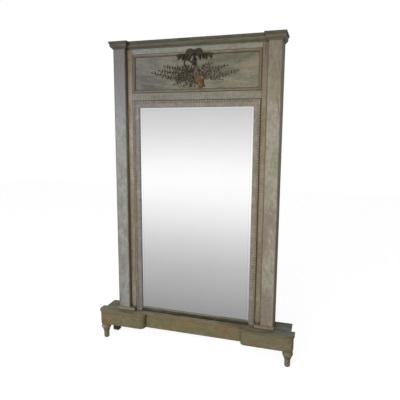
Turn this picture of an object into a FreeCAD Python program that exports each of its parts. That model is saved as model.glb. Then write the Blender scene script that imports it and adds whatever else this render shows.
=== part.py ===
import FreeCAD, Part
import math
import os
import re

import Sketcher

# Trumeau mirror: a tall mirror plate and a carved frieze panel between two pilasters,
# under a breakfront cornice, standing on a low base with four feet.
# Millimetres, +Z up.  X runs along the front, the front faces -Y, and the back of the
# frame and of the base lie in one plane at the wall.  The origin is on the floor,
# under the middle of the base board.

SIZES = {
    # Frame
    "frame_depth": 130,           # pilaster face to wall
    "stile_reveal": 34,           # strip of stile between the carved frame and a pilaster
    "pilaster_width": 79,
    "pilaster_thick": 28,
    "pilaster_chamfer": 3,
    "stile_thick": 24,
    "side_board_thick": 20,
    "tenon_length": 36,
    "tenon_thick": 8,
    "tenon_shoulder": 10,         # above and below each tenon
    "plinth_height": 22,
    "plinth_proud": 4,            # plinth block beyond the pilaster it carries
    # Mirror opening and its carved inner frame
    "sight_width": 710,
    "sight_height": 1309,
    "sill_height": 9,
    "inner_frame_width": 42,
    "inner_frame_proud": 8,       # carved band before the stile face
    "carved_band_width": 15,
    "leaf_pitch": 17,
    "leaf_notch_depth": 4,
    "leaf_notch_width": 8,
    "sight_edge_depth": 14,       # front of the carved band to the sight edge
    "sight_edge_thick": 5,
    "cove_width": 20,             # hollow between the sight bead and the carved band
    "cove_depth": 9,              # back from the front of the band, at the sight bead
    "band_quirk_width": 2,
    "band_quirk_depth": 6,
    "band_round": 4,
    "band_edge": 1,
    "plate_cover": 9,             # how far the plate reaches behind the sight edge
    "plate_thick": 5,
    "bevel_width": 24,
    "bevel_depth": 1.3,
    "glazing_block_length": 60,
    "glazing_block_width": 14,
    "back_board_thick": 10,
    "back_board_lap": 45,         # back boards beyond the mirror opening, on the stiles
    # Frieze
    "middle_rail_height": 44,
    "frieze_height": 230,
    "top_rail_height": 64,
    "panel_thick": 10,
    "panel_recess": 8,            # panel face behind the rail face
    "groove_depth": 8,
    "panel_moulding_width": 18,
    "panel_moulding_depth": 10,
    "panel_moulding_sill": 6,     # thickness of the moulding where it meets the panel
    "panel_moulding_step": 2,
    # Cornice
    "bed_height": 33,
    "bed_projection": 17,
    "bed_foot": 4,                # projection of the fillet at the foot of the cornice
    "bed_fillet": 5,
    "bed_quirk": 2,
    "bed_ovolo_radius": 18,
    "cornice_board_thick": 10,
    "cornice_overhang": 21,
    # Inside the back
    "batten_height": 70,
    "batten_thick": 24,
    "upper_batten_drop": 130,     # top of the frame down to the top of the upper batten
    "lower_batten_gap": 90,       # foot of the frame up to the lower batten
    "wall_hole_diameter": 8,
    "wall_hole_spacing": 700,
    "wall_plate_width": 60,
    "wall_plate_height": 40,
    "wall_plate_thick": 2,
    # Base
    "base_reach": 130,            # base board beyond the frame at either end
    "base_depth": 180,
    "base_board_thick": 14,
    "base_lip": 6,                # board beyond the faces under it
    "base_rail_height": 85,
    "base_rail_thick": 22,
    "centre_width": 636,          # between the two end blocks
    "breakfront": 40,             # end blocks before the middle rail
    "block_depth": 62,
    "block_inner_radius": 30,
    "block_outer_radius": 24,
    "side_step": 24,              # side rails in from the ends of the blocks
    "bearer_width": 40,
    "bearer_height": 40,
    "glue_block_size": 40,
    # Feet
    "foot_height": 104,
    "foot_neck_height": 5,
    "foot_neck_flare": 3,
    "foot_bulb_diameter": 46,     # where its round side starts and ends
    "foot_bulb_height": 26,
    "foot_bulb_belly": 9,
    "foot_collar_height": 7,
    "foot_ring_diameter": 46,
    "foot_ring_height": 7,
    "foot_ring_bevel": 2,
    "foot_shaft_top_diameter": 38,
    "foot_shaft_low_diameter": 34,
    "foot_toe_bevel": 3,
    "foot_end_inset": 31,         # centre of a front foot in from the end of its block
    "foot_face_inset": 31,        # and back from the face of its block
    "spigot_diameter": 20,
    "spigot_length": 30,
    "rear_foot_width": 40,
    # Carved ornament on the frieze
    "ornament_depth": 14,         # highest relief before the panel
    "basket_mouth_width": 68,
    "basket_waist_width": 36,
    "basket_foot_width": 42,
    "basket_foot_clear": 4,       # lowest corner of the basket above the panel moulding
    "basket_rim": 8,
    "basket_foot_rim": 6,
    "basket_lean": 18,            # degrees from upright
    "basket_shift": 25,           # middle of the basket's mouth beside the middle of the frieze
    "basket_drop": 137,           # middle of the basket's mouth below the top of the frieze
    "handle_diameter": 7,
    "handle_lean": 38,            # degrees from upright
    "handle_half_width": 30,
    "handle_length": 95,
    "handle_shift": -25,          # middle of the handle's loop beside the mouth's
    "handle_lift": 16,            # and above it
    "bow_drop": 4,                # knot below the top of the frieze
    "bow_loop_width": 52,
    "bow_loop_height": 40,
    "bow_tail_length": 110,
    "bow_knot_size": 22,
    "cord_width": 8,
    "cord_length": 72,
    "ribbon_thick": 5,
    "flower_diameter": 30,
    "flower_depth": 12,
    "leaf_length": 38,
    "leaf_width": 17,
    "leaf_depth": 6,
    "leaf_spacing": 32,           # from one pair of leaves to the next
    "left_spray_reach": 288,      # middle of the basket's mouth to the tips of the sprays
    "right_spray_reach": 228,
    "spray_foot_clear": 2,        # lowest leaf above the panel moulding
    "stem_diameter": 4,
    # Fits
    "fit_gap": 0.2,               # slip fit of tenons, tongues and spigots
}

BACK_BOARDS = 4
GLAZING_ROWS = 4

# Places of the flowers, as shares of the spray's reach on that side and of the sprays'
# height, and their size as a share of flower_diameter.
FLOWERS = (
    (-0.05, 0.2, 1.2), (0.11, 0.3, 1.15), (-0.17, 0.05, 1.1), (-0.13, -0.5, 1.0),
    (-0.26, 0.42, 0.95), (-0.32, -0.2, 0.9), (-0.43, 0.14, 0.8), (-0.17, -0.9, 0.75),
    (-0.03, 0.75, 0.9), (0.24, 0.72, 1.0), (0.28, 0.08, 1.1), (0.42, 0.42, 1.05),
    (0.41, -0.3, 0.75), (0.57, 0.12, 0.85), (0.74, 0.26, 0.65),
)

# Tips of the stems, as shares of the reach and of the height of the sprays, and how far
# each stem bows as a share of that height.
STEMS = {
    "left": ((1.0, 0.42, -0.3), (0.72, 1.0, 0.1), (0.66, -0.15, -0.2), (0.5, -0.7, 0.1),
             (0.3, -0.85, 0.15), (0.16, -0.7, 0.1)),
    "right": ((1.0, 0.32, -0.3), (0.72, 0.85, 0.1), (0.6, -0.42, 0.1), (0.32, 1.1, 0.2)),
}

doc = FreeCAD.newDocument("trumeau_mirror")
sheet = doc.addObject("Spreadsheet::Sheet", "sizes")
for row, (alias, value) in enumerate(SIZES.items(), start=1):
    sheet.set("A%d" % row, alias)
    sheet.set("B%d" % row, str(value))
    sheet.setAlias("B%d" % row, alias)
doc.recompute()

# Levels and planes that several pieces share, as expressions of the cells.
FRAME_FOOT = "(foot_height + base_rail_height + base_board_thick)"
SIGHT_FOOT = "(%s + sill_height)" % FRAME_FOOT
SIGHT_TOP = "(%s + sight_height)" % SIGHT_FOOT
MIDDLE_RAIL_FOOT = "(%s + inner_frame_width)" % SIGHT_TOP
FRIEZE_FOOT = "(%s + middle_rail_height)" % MIDDLE_RAIL_FOOT
FRIEZE_TOP = "(%s + frieze_height)" % FRIEZE_FOOT
FRAME_TOP = "(%s + top_rail_height)" % FRIEZE_TOP
FRAME_HEIGHT = "(%s - %s)" % (FRAME_TOP, FRAME_FOOT)
BED_FOOT = "(%s - bed_height)" % FRAME_TOP

WALL = "(base_depth / 2)"
PILASTER_FACE = "(%s - frame_depth)" % WALL
STILE_FACE = "(%s + pilaster_thick)" % PILASTER_FACE
STILE_BACK = "(%s + stile_thick)" % STILE_FACE
PANEL_FACE = "(%s + panel_recess)" % STILE_FACE
BAND_FACE = "(%s - inner_frame_proud)" % STILE_FACE
SIGHT_BACK = "(%s + sight_edge_depth + sight_edge_thick)" % BAND_FACE
# The bevel meets the back of the sight edge, so the plate's rim lies a little behind it.
PLATE_RIM = "(%s + bevel_depth * plate_cover / bevel_width + fit_gap / 4)" % SIGHT_BACK
PLATE_BACK = "(%s - bevel_depth + plate_thick)" % PLATE_RIM
LIP_FRONT = "(0 - base_depth / 2)"
BLOCK_FACE = "(%s + base_lip)" % LIP_FRONT
BLOCK_BACK = "(%s + block_depth)" % BLOCK_FACE
CENTRE_FACE = "(%s + breakfront)" % BLOCK_FACE

HALF_OPENING = "(sight_width / 2 + inner_frame_width)"
PILASTER_INNER = "(%s + stile_reveal)" % HALF_OPENING
HALF_FRAME = "(%s + pilaster_width)" % PILASTER_INNER
SIDE_INNER = "(%s - side_board_thick)" % HALF_FRAME
HALF_BASE = "(%s + base_reach)" % HALF_FRAME
BLOCK_END = "(%s - base_lip)" % HALF_BASE
SIDE_RAIL_FACE = "(%s - side_step)" % BLOCK_END

SAME_PLACE = 0.01        # millimetres between two places that count as one
NODES = []


def size(alias):
    """A cell of the sheet as a number."""
    return float(sheet.get(alias))


def link(text):
    """The same expression with each cell's name pointing at the sheet."""
    return re.sub(r"\b[a-z][a-z_]*\b(?!\()", lambda word: "sizes." + word.group(0), text)


def bind(item, **expressions):
    for path, text in expressions.items():
        item.setExpression(path, link(text))


def put(item, x="0", y="0", z="0"):
    """Tie the item's place to the sheet."""
    for axis, text in (("x", x), ("y", y), ("z", z)):
        if text != "0":
            item.setExpression("Placement.Base." + axis, link(text))


def keep(item, label):
    """Count the item as a finished piece under its own label."""
    item.Label = label
    NODES.append(item)
    return item


def amount(text):
    """What an expression of the cells comes to, before any rounding down."""
    plain = text.replace("floor", "")
    numbers = re.sub(r"[a-z][a-z_]*", lambda word: "(%s)" % sheet.get(word.group(0)), plain)
    return FreeCAD.Units.Quantity(numbers).Value


def tie(sketch, name, rule, text):
    """Add a constraint whose size follows the sheet."""
    index = sketch.addConstraint(rule)
    sketch.renameConstraint(index, name)
    sketch.setExpression("Constraints." + name, link(text))


def hold(sketch, edge, end, across, along):
    """Keep one end of an edge at its distances from the sketch's axes."""
    for axis, line, text in (("X", -2, across), ("Y", -1, along)):
        if text == "0":
            sketch.addConstraint(Sketcher.Constraint("PointOnObject", edge, end, line))
        else:
            rule = Sketcher.Constraint("Distance" + axis, -1, 1, edge, end, amount(text))
            tie(sketch, "spot%d%s" % (edge, axis.lower()), rule, text)


def arc_through(start, end, radius):
    """Arc from start to end that bows to the right of the way there."""
    chord = end - start
    half = chord.Length / 2
    sagitta = radius - math.sqrt(radius * radius - half * half)
    aside = FreeCAD.Vector(chord.y, -chord.x, 0).normalize()
    return Part.Arc(start, start + chord * 0.5 + aside * sagitta, end)


def draw(sketch, stations):
    """A closed outline through the stations; one with a third entry starts an arc, and the
    entry is the arc's radius."""
    spots = [FreeCAD.Vector(amount(station[0]), amount(station[1]), 0) for station in stations]
    count = len(stations)
    starts = []
    for k, station in enumerate(stations):
        here, there = spots[k], spots[(k + 1) % count]
        if len(station) == 3:
            radius = station[2]
            edge = sketch.addGeometry(arc_through(here, there, amount(radius)), False)
            tie(sketch, "radius%d" % edge, Sketcher.Constraint("Radius", edge, amount(radius)), radius)
            begins_here = sketch.getPoint(edge, 1).distanceToPoint(here) < SAME_PLACE
            starts.append((edge, 1 if begins_here else 2))
        else:
            edge = sketch.addGeometry(Part.LineSegment(here, there), False)
            starts.append((edge, 1))
    for k, (edge, start) in enumerate(starts):
        end = 3 - start
        sketch.addConstraint(Sketcher.Constraint("Coincident", edge, end, *starts[(k + 1) % count]))
        hold(sketch, edge, start, stations[k][0], stations[k][1])


def origin_item(body, role):
    return next(item for item in body.Origin.OriginFeatures if item.Role == role)


def sketch_on(body, name, role, outlines, offset="0"):
    """A sketch on one of the body's own planes, moved along the plane's normal."""
    sketch = body.newObject("Sketcher::SketchObject", name)
    sketch.AttachmentSupport = [(origin_item(body, role), "")]
    sketch.MapMode = "FlatFace"
    if offset != "0":
        sketch.setExpression("AttachmentOffset.Base.z", link(offset))
    for corners in outlines:
        draw(sketch, corners)
    return sketch


def pad(body, name, role, outlines, length, offset="0"):
    """Add material from the plane towards the positive side of its axis."""
    feature = body.newObject("PartDesign::Pad", name)
    feature.Profile = sketch_on(body, name + "_outline", role, outlines, offset)
    feature.Reversed = role == "XZ_Plane"
    bind(feature, Length=length)
    return feature


def pocket(body, name, role, outlines, length, offset="0"):
    """Take material away from the plane towards the positive side of its axis."""
    feature = body.newObject("PartDesign::Pocket", name)
    feature.Profile = sketch_on(body, name + "_outline", role, outlines, offset)
    feature.Reversed = role != "XZ_Plane"
    bind(feature, Length=length)
    return feature


def rectangle(low_x, low_y, high_x, high_y):
    return [(low_x, low_y), (high_x, low_y), (high_x, high_y), (low_x, high_y)]


def new_body(name):
    return doc.addObject("PartDesign::Body", name)


def near(value, target):
    return abs(value - target) < SAME_PLACE


def upright_edges(shape, spots):
    """Names of the upright edges that stand on the given places."""
    names = []
    for index, edge in enumerate(shape.Edges, start=1):
        box = edge.BoundBox
        if near(box.XLength, 0) and near(box.YLength, 0):
            if any(near(box.XMin, x) and near(box.YMin, y) for x, y in spots):
                names.append("Edge%d" % index)
    return names


def mirror_image(source, label, normal=(1, 0, 0)):
    """The same piece on the other side of a plane through the origin."""
    twin = doc.addObject("Part::Mirroring", label)
    twin.Source = source
    twin.Normal = FreeCAD.Vector(*normal)
    return keep(twin, label)


def both_sides(source, name):
    """The piece as modelled on the right, and its twin on the left."""
    keep(source, "right_" + name)
    return mirror_image(source, "left_" + name)


def board(label, length, depth, height, x, y, z):
    """A plain squared board."""
    item = doc.addObject("Part::Box", label)
    bind(item, Length=length, Width=depth, Height=height)
    put(item, x, y, z)
    return item


# ---------------------------------------------------------------- frame: stiles and rails

def rail_tenon_levels(foot, height):
    return "(%s + tenon_shoulder)" % foot, "(%s + %s - tenon_shoulder)" % (foot, height)


TENON_NEAR = "(stile_thick / 2 - tenon_thick / 2)"
TENON_FAR = "(stile_thick / 2 + tenon_thick / 2)"


def make_stile():
    """Right stile, from the edge of the opening to the side board."""
    body = new_body("stile_body")
    width = "(%s - %s)" % (SIDE_INNER, HALF_OPENING)
    pad(body, "stile_board", "XY_Plane", [rectangle("0", "0", width, "stile_thick")], FRAME_HEIGHT)
    groove = rectangle("0", "panel_recess", "groove_depth", "panel_recess + panel_thick + fit_gap")
    groove_length = "frieze_height + 2 * groove_depth"
    groove_foot = "%s - groove_depth - %s" % (FRIEZE_FOOT, FRAME_FOOT)
    pocket(body, "stile_groove", "XY_Plane", [groove], groove_length, groove_foot)
    mortises = []
    for foot, height in ((MIDDLE_RAIL_FOOT, "middle_rail_height"), (FRIEZE_TOP, "top_rail_height")):
        low, high = rail_tenon_levels("(%s - %s)" % (foot, FRAME_FOOT), height)
        mortises.append(rectangle(TENON_NEAR + " - fit_gap", low + " - fit_gap",
                                  TENON_FAR + " + fit_gap", high + " + fit_gap"))
    pocket(body, "stile_mortises", "YZ_Plane", mortises, "tenon_length + fit_gap")
    put(body, HALF_OPENING, STILE_FACE, FRAME_FOOT)
    both_sides(body, "stile")


def make_rail(label, height, foot, groove_at_top):
    """A rail with a panel groove along one edge and a tenon at each end."""
    body = new_body(label + "_body")
    near_side = "panel_recess"
    far_side = "panel_recess + panel_thick + fit_gap"
    if groove_at_top:
        section = [("0", "0"), ("stile_thick", "0"), ("stile_thick", height), (far_side, height),
                   (far_side, height + " - groove_depth"), (near_side, height + " - groove_depth"),
                   (near_side, height), ("0", height)]
    else:
        section = [("0", "0"), (near_side, "0"), (near_side, "groove_depth"),
                   (far_side, "groove_depth"), (far_side, "0"), ("stile_thick", "0"),
                   ("stile_thick", height), ("0", height)]
    pad(body, label + "_board", "YZ_Plane", [section], "2 * %s" % HALF_OPENING, "tenon_length")
    low, high = rail_tenon_levels("0", height)
    tenon = rectangle(TENON_NEAR, low, TENON_FAR, high)
    tenons = body.newObject("PartDesign::Pad", label + "_tenons")
    tenons.Profile = sketch_on(body, label + "_tenon_outline", "YZ_Plane", [tenon])
    bind(tenons, Length="2 * %s + 2 * tenon_length" % HALF_OPENING)
    put(body, "0 - %s - tenon_length" % HALF_OPENING, STILE_FACE, foot)
    keep(body, label)


def make_bottom_rail():
    """Low rail between the carved uprights, rebated behind for the plate's lower edge."""
    body = new_body("bottom_rail_body")
    rebate_y = "(%s - %s)" % (SIGHT_BACK, STILE_FACE)
    section = [("0", "0"), ("stile_thick", "0"), ("stile_thick", "sill_height - plate_cover / 2"),
               (rebate_y, "sill_height - plate_cover / 2"), (rebate_y, "sill_height"),
               ("0", "sill_height")]
    pad(body, "bottom_rail_board", "YZ_Plane", [section], "sight_width")
    put(body, "0 - sight_width / 2", STILE_FACE, FRAME_FOOT)
    keep(body, "bottom_rail")


def make_side_board():
    board_item = board("side_board", "side_board_thick", "frame_depth - pilaster_thick",
                       FRAME_HEIGHT, SIDE_INNER, STILE_FACE, FRAME_FOOT)
    both_sides(board_item, "side_board")


# ---------------------------------------------------------------- pilasters

def make_pilaster():
    body = new_body("pilaster_body")
    height = "(%s - plinth_height)" % FRAME_HEIGHT
    outline = rectangle("0", "0", "pilaster_width", "pilaster_thick")
    pilaster = pad(body, "pilaster_board", "XY_Plane", [outline], height)
    doc.recompute()
    chamfer = body.newObject("PartDesign::Chamfer", "pilaster_arrises")
    front_corners = [(0, 0), (size("pilaster_width"), 0)]
    chamfer.Base = (pilaster, upright_edges(pilaster.Shape, front_corners))
    bind(chamfer, Size="pilaster_chamfer")
    body.Tip = chamfer
    put(body, PILASTER_INNER, PILASTER_FACE, "%s + plinth_height" % FRAME_FOOT)
    both_sides(body, "pilaster")


def make_plinth_block():
    """Block under the pilaster, carried in to the carved upright."""
    item = board("plinth_block", "%s - %s + plinth_proud" % (HALF_FRAME, HALF_OPENING),
                 "pilaster_thick + plinth_proud", "plinth_height",
                 HALF_OPENING, "%s - plinth_proud" % PILASTER_FACE, FRAME_FOOT)
    both_sides(item, "plinth_block")


# ---------------------------------------------------------------- carved inner frame

BAND_START = "(inner_frame_width - carved_band_width - band_edge)"


def inner_frame_section():
    """Across from the sight edge, and back from the face of the carved band."""
    back = "(inner_frame_proud + stile_thick)"
    sight_back = "(sight_edge_depth + sight_edge_thick)"
    rebate = "(plate_cover + band_edge)"
    quirk = "(%s - band_quirk_width)" % BAND_START
    return [
        ("0", sight_back),
        ("0", "sight_edge_depth"),
        (quirk + " - cove_width", "cove_depth"),
        (quirk, "band_quirk_depth + band_edge"),
        (quirk, "band_quirk_depth"),
        (BAND_START, "band_quirk_depth - band_edge"),
        (BAND_START + " + band_round", "0"),
        ("inner_frame_width - band_edge - band_round", "0"),
        ("inner_frame_width - band_edge", "band_round"),
        ("inner_frame_width", "inner_frame_proud"),
        ("inner_frame_width", back),
        (rebate, back),
        (rebate, sight_back),
    ]


def make_carved_uprights():
    """Right upright: a moulded strip, mitred at the top, with a notch between leaves."""
    body = new_body("carved_upright_body")
    length = "(%s - %s)" % (MIDDLE_RAIL_FOOT, FRAME_FOOT)
    pad(body, "upright_strip", "XY_Plane", [inner_frame_section()], length)
    depth = "inner_frame_proud + stile_thick"
    mitre = [("0", length + " - inner_frame_width"), ("inner_frame_width", length), ("0", length)]
    pocket(body, "upright_mitre", "XZ_Plane", [mitre], depth)
    middle = "leaf_pitch / 2"
    notch = [("0", middle + " - leaf_notch_width / 2"), ("leaf_notch_depth", middle),
             ("0", middle + " + leaf_notch_width / 2")]
    cut = pocket(body, "upright_notch", "YZ_Plane", [notch], "carved_band_width + band_edge", BAND_START)
    row = body.newObject("PartDesign::LinearPattern", "upright_leaves")
    row.Originals = [cut]
    row.Direction = (origin_item(body, "Z_Axis"), [""])
    count = "floor((%s - inner_frame_width) / leaf_pitch)" % length
    bind(row, Length="(%s - 1) * leaf_pitch" % count, Occurrences=count)
    body.Tip = row
    put(body, "sight_width / 2", BAND_FACE, FRAME_FOOT)
    both_sides(body, "carved_upright")


def make_carved_head():
    """Carved strip over the mirror, mitred at both ends."""
    body = new_body("carved_head_body")
    length = "(2 * %s)" % HALF_OPENING
    section = [(back, across) for across, back in inner_frame_section()]
    pad(body, "head_strip", "YZ_Plane", [section], length)
    near_mitre = [("0", "0"), ("inner_frame_width", "0"), ("0", "inner_frame_width")]
    far_mitre = [(length, "0"), (length, "inner_frame_width"),
                 (length + " - inner_frame_width", "0")]
    depth = "inner_frame_proud + stile_thick"
    pocket(body, "head_mitres", "XZ_Plane", [near_mitre, far_mitre], depth)
    count = "floor(sight_width / leaf_pitch)"
    middle = "(%s / 2 - (%s - 1) * leaf_pitch / 2)" % (length, count)
    notch = [(middle + " - leaf_notch_width / 2", "0"), (middle, "leaf_notch_depth"),
             (middle + " + leaf_notch_width / 2", "0")]
    cut = pocket(body, "head_notch", "XY_Plane", [notch], "carved_band_width + band_edge", BAND_START)
    row = body.newObject("PartDesign::LinearPattern", "head_leaves")
    row.Originals = [cut]
    row.Direction = (origin_item(body, "X_Axis"), [""])
    bind(row, Length="(%s - 1) * leaf_pitch" % count, Occurrences=count)
    body.Tip = row
    put(body, "0 - %s" % HALF_OPENING, BAND_FACE, SIGHT_TOP)
    keep(body, "carved_head")


# ---------------------------------------------------------------- mirror plate and backing

def make_mirror_plate():
    """Silvered plate: a flat sheet with a shallow bevel round its front."""
    width = "(sight_width + 2 * plate_cover)"
    foot = "(%s - plate_cover / 2)" % SIGHT_FOOT
    height = "(%s + plate_cover - %s)" % (SIGHT_TOP, foot)
    sheet_body = board("plate_sheet", width, "plate_thick - bevel_depth", height,
                       "0 - %s / 2" % width, PLATE_RIM, foot)
    bevel = doc.addObject("Part::Wedge", "plate_bevel")
    bind(bevel, Xmin="bevel_width", Xmax=width + " - bevel_width", Zmin="bevel_width",
         Zmax=height + " - bevel_width", Ymax="bevel_depth", X2max=width, Z2max=height)
    bevel.Ymin = 0
    bevel.X2min = 0
    bevel.Z2min = 0
    put(bevel, "0 - %s / 2" % width, "%s - bevel_depth" % PLATE_RIM, foot)
    plate = doc.addObject("Part::Fuse", "plate")
    plate.Base = sheet_body
    plate.Tool = bevel
    keep(plate, "mirror_plate")


def make_back_boards():
    """Four level boards behind the plate, on the backs of the stiles."""
    width = "(2 * (%s + back_board_lap))" % HALF_OPENING
    height = "(%s + middle_rail_height / 2 - %s)" % (MIDDLE_RAIL_FOOT, FRAME_FOOT)
    each = "(%s / %d)" % (height, BACK_BOARDS)
    for k in range(BACK_BOARDS):
        item = board("back_board_%d" % (k + 1), width, "back_board_thick", each,
                     "0 - %s / 2" % width, STILE_BACK, "%s + %d * %s" % (FRAME_FOOT, k, each))
        keep(item, "back_board_%d" % (k + 1))


def make_glazing_blocks():
    """Short blocks glued in the rebate, between the plate and the back boards."""
    pieces = []
    depth = "(%s - %s)" % (STILE_BACK, PLATE_BACK)
    edge = "(sight_width / 2 + plate_cover)"
    for k in range(GLAZING_ROWS):
        share = (k + 0.5) / GLAZING_ROWS
        level = "%s + sight_height * %g" % (SIGHT_FOOT, share)
        for side, x in (("right", "%s - glazing_block_width" % edge), ("left", "0 - " + edge)):
            pieces.append(board("glazing_block_%s_%d" % (side, k), "glazing_block_width", depth,
                                "glazing_block_length", x, PLATE_BACK, level))
    group = doc.addObject("Part::Compound", "glazing_group")
    group.Links = pieces
    keep(group, "glazing_blocks")


# ---------------------------------------------------------------- frieze

def make_frieze_panel():
    reach = "(groove_depth - 2 * fit_gap)"
    item = board("panel", "2 * (%s + %s)" % (HALF_OPENING, reach), "panel_thick",
                 "frieze_height + 2 * %s" % reach, "0 - %s - %s" % (HALF_OPENING, reach),
                 PANEL_FACE, "%s - %s" % (FRIEZE_FOOT, reach))
    keep(item, "frieze_panel")


def panel_moulding_section():
    """Across from the field of the panel, and back from the face of the moulding."""
    width = "panel_moulding_width"
    depth = "panel_moulding_depth"
    sill = "(panel_moulding_depth - panel_moulding_sill)"
    return [
        ("0", depth),
        ("0", sill + " + panel_moulding_step"),
        (width + " / 6", sill),
        (width + " / 3", sill),
        (width + " / 3", sill + " - panel_moulding_step"),
        (width + " / 2", "0"),
        (width + " - panel_moulding_step", "0"),
        (width, "panel_moulding_step"),
        (width, depth),
    ]


def make_panel_moulding():
    """Bolection strips round the panel, mitred at the four corners."""
    width = "panel_moulding_width"
    front = "%s - panel_moulding_depth" % PANEL_FACE
    upright = new_body("panel_upright_body")
    pad(upright, "panel_upright", "XY_Plane", [panel_moulding_section()], "frieze_height")
    low = [("0", "0"), (width, "0"), ("0", width)]
    high = [("0", "frieze_height"), (width, "frieze_height"), ("0", "frieze_height - " + width)]
    pocket(upright, "panel_upright_mitres", "XZ_Plane", [low, high], "panel_moulding_depth")
    put(upright, "%s - %s" % (HALF_OPENING, width), front, FRIEZE_FOOT)
    both_sides(upright, "panel_moulding")

    level = new_body("panel_level_body")
    length = "(2 * %s)" % HALF_OPENING
    section = [(back, across) for across, back in panel_moulding_section()]
    pad(level, "panel_level", "YZ_Plane", [section], length)
    near_end = [("0", "0"), (width, "0"), ("0", width)]
    far_end = [(length, "0"), (length, width), ("%s - %s" % (length, width), "0")]
    pocket(level, "panel_level_mitres", "XZ_Plane", [near_end, far_end], "panel_moulding_depth")
    put(level, "0 - %s" % HALF_OPENING, front, "%s - %s" % (FRIEZE_TOP, width))
    keep(level, "top_panel_moulding")
    twin = mirror_image(level, "bottom_panel_moulding", (0, 0, 1))
    twin.setExpression("Base.z", link("(%s + %s) / 2" % (FRIEZE_FOOT, FRIEZE_TOP)))


# ---------------------------------------------------------------- cornice

def bed_stations(inset="0"):
    """Outline of the bed moulding: a fillet, an ovolo and a fillet under the board."""
    out = "%s + bed_projection" % inset
    foot = "%s + bed_foot" % inset
    fillet_level = "bed_height - bed_fillet"
    return [
        (inset, "0"),
        (foot, "0"),
        (foot, "bed_fillet", "bed_ovolo_radius"),
        (out + " - bed_quirk", fillet_level),
        (out, fillet_level),
        (out, "bed_height"),
        (inset, "bed_height"),
    ]


def make_cornice_breaks():
    """Bed moulding round the right pilaster: along the side, across and back in."""
    body = new_body("cornice_break_body")
    path = body.newObject("Sketcher::SketchObject", "cornice_break_path")
    path.AttachmentSupport = [(origin_item(body, "XY_Plane"), "")]
    path.MapMode = "FlatFace"
    width, depth, step = size("pilaster_width"), size("frame_depth"), size("pilaster_thick")
    turns = [(width, depth), (width, 0), (0, 0), (0, step)]
    spots = [FreeCAD.Vector(x, y, 0) for x, y in turns]
    for k in range(3):
        path.addGeometry(Part.LineSegment(spots[k], spots[k + 1]), False)
    path.addConstraint(Sketcher.Constraint("Coincident", 0, 2, 1, 1))
    path.addConstraint(Sketcher.Constraint("Coincident", 1, 2, 2, 1))
    path.addConstraint(Sketcher.Constraint("Coincident", 1, 2, -1, 1))
    path.addConstraint(Sketcher.Constraint("Vertical", 0))
    path.addConstraint(Sketcher.Constraint("Horizontal", 1))
    path.addConstraint(Sketcher.Constraint("Vertical", 2))
    lengths = ((0, depth, "frame_depth"), (1, width, "pilaster_width"), (2, step, "pilaster_thick"))
    for edge, length, cell in lengths:
        tie(path, "run%d" % edge, Sketcher.Constraint("Distance", edge, length), cell)
    section = sketch_on(body, "cornice_break_section", "XZ_Plane",
                        [bed_stations("pilaster_width")], "0 - frame_depth")
    sweep = body.newObject("PartDesign::AdditivePipe", "cornice_break_sweep")
    sweep.Profile = section
    sweep.Spine = (path, ["Edge1", "Edge2", "Edge3"])
    sweep.Transition = "Right corner"
    reach = "bed_projection"
    mitre = [("0", "pilaster_thick"), ("0 - " + reach, "pilaster_thick"),
             ("0 - " + reach, "pilaster_thick - " + reach)]
    pocket(body, "cornice_break_mitre", "XY_Plane", [mitre], "bed_height")
    put(body, PILASTER_INNER, PILASTER_FACE, BED_FOOT)
    both_sides(body, "cornice_break")


def make_cornice_centre():
    """Bed moulding on the top rail, mitred into the returns of the two breaks."""
    body = new_body("cornice_centre_body")
    length = "(2 * %s)" % PILASTER_INNER
    pad(body, "cornice_centre_strip", "YZ_Plane", [bed_stations()], length)
    reach = "bed_projection"
    near_end = [("0", "0"), (reach, reach), ("0", reach)]
    far_end = [(length, "0"), (length, reach), ("%s - %s" % (length, reach), reach)]
    pocket(body, "cornice_centre_mitres", "XY_Plane", [near_end, far_end], "bed_height")
    body.Placement.Rotation = FreeCAD.Rotation(FreeCAD.Vector(0, 0, 1), 180)
    put(body, PILASTER_INNER, STILE_FACE, BED_FOOT)
    keep(body, "cornice_centre")


def make_cornice_board():
    """Thin board over the frame that follows its breaks and carries the top fillet."""
    body = new_body("cornice_board_body")
    width = "(2 * (%s + cornice_overhang))" % HALF_FRAME
    depth = "(frame_depth + cornice_overhang)"
    break_end = "(pilaster_width + 2 * cornice_overhang)"
    outline = [("0", "0"), (break_end, "0"), (break_end, "pilaster_thick"),
               ("%s - %s" % (width, break_end), "pilaster_thick"),
               ("%s - %s" % (width, break_end), "0"), (width, "0"), (width, depth), ("0", depth)]
    pad(body, "cornice_board", "XY_Plane", [outline], "cornice_board_thick")
    put(body, "0 - %s / 2" % width, "%s - cornice_overhang" % PILASTER_FACE, FRAME_TOP)
    keep(body, "cornice_top_board")


# ---------------------------------------------------------------- inside the back

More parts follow.
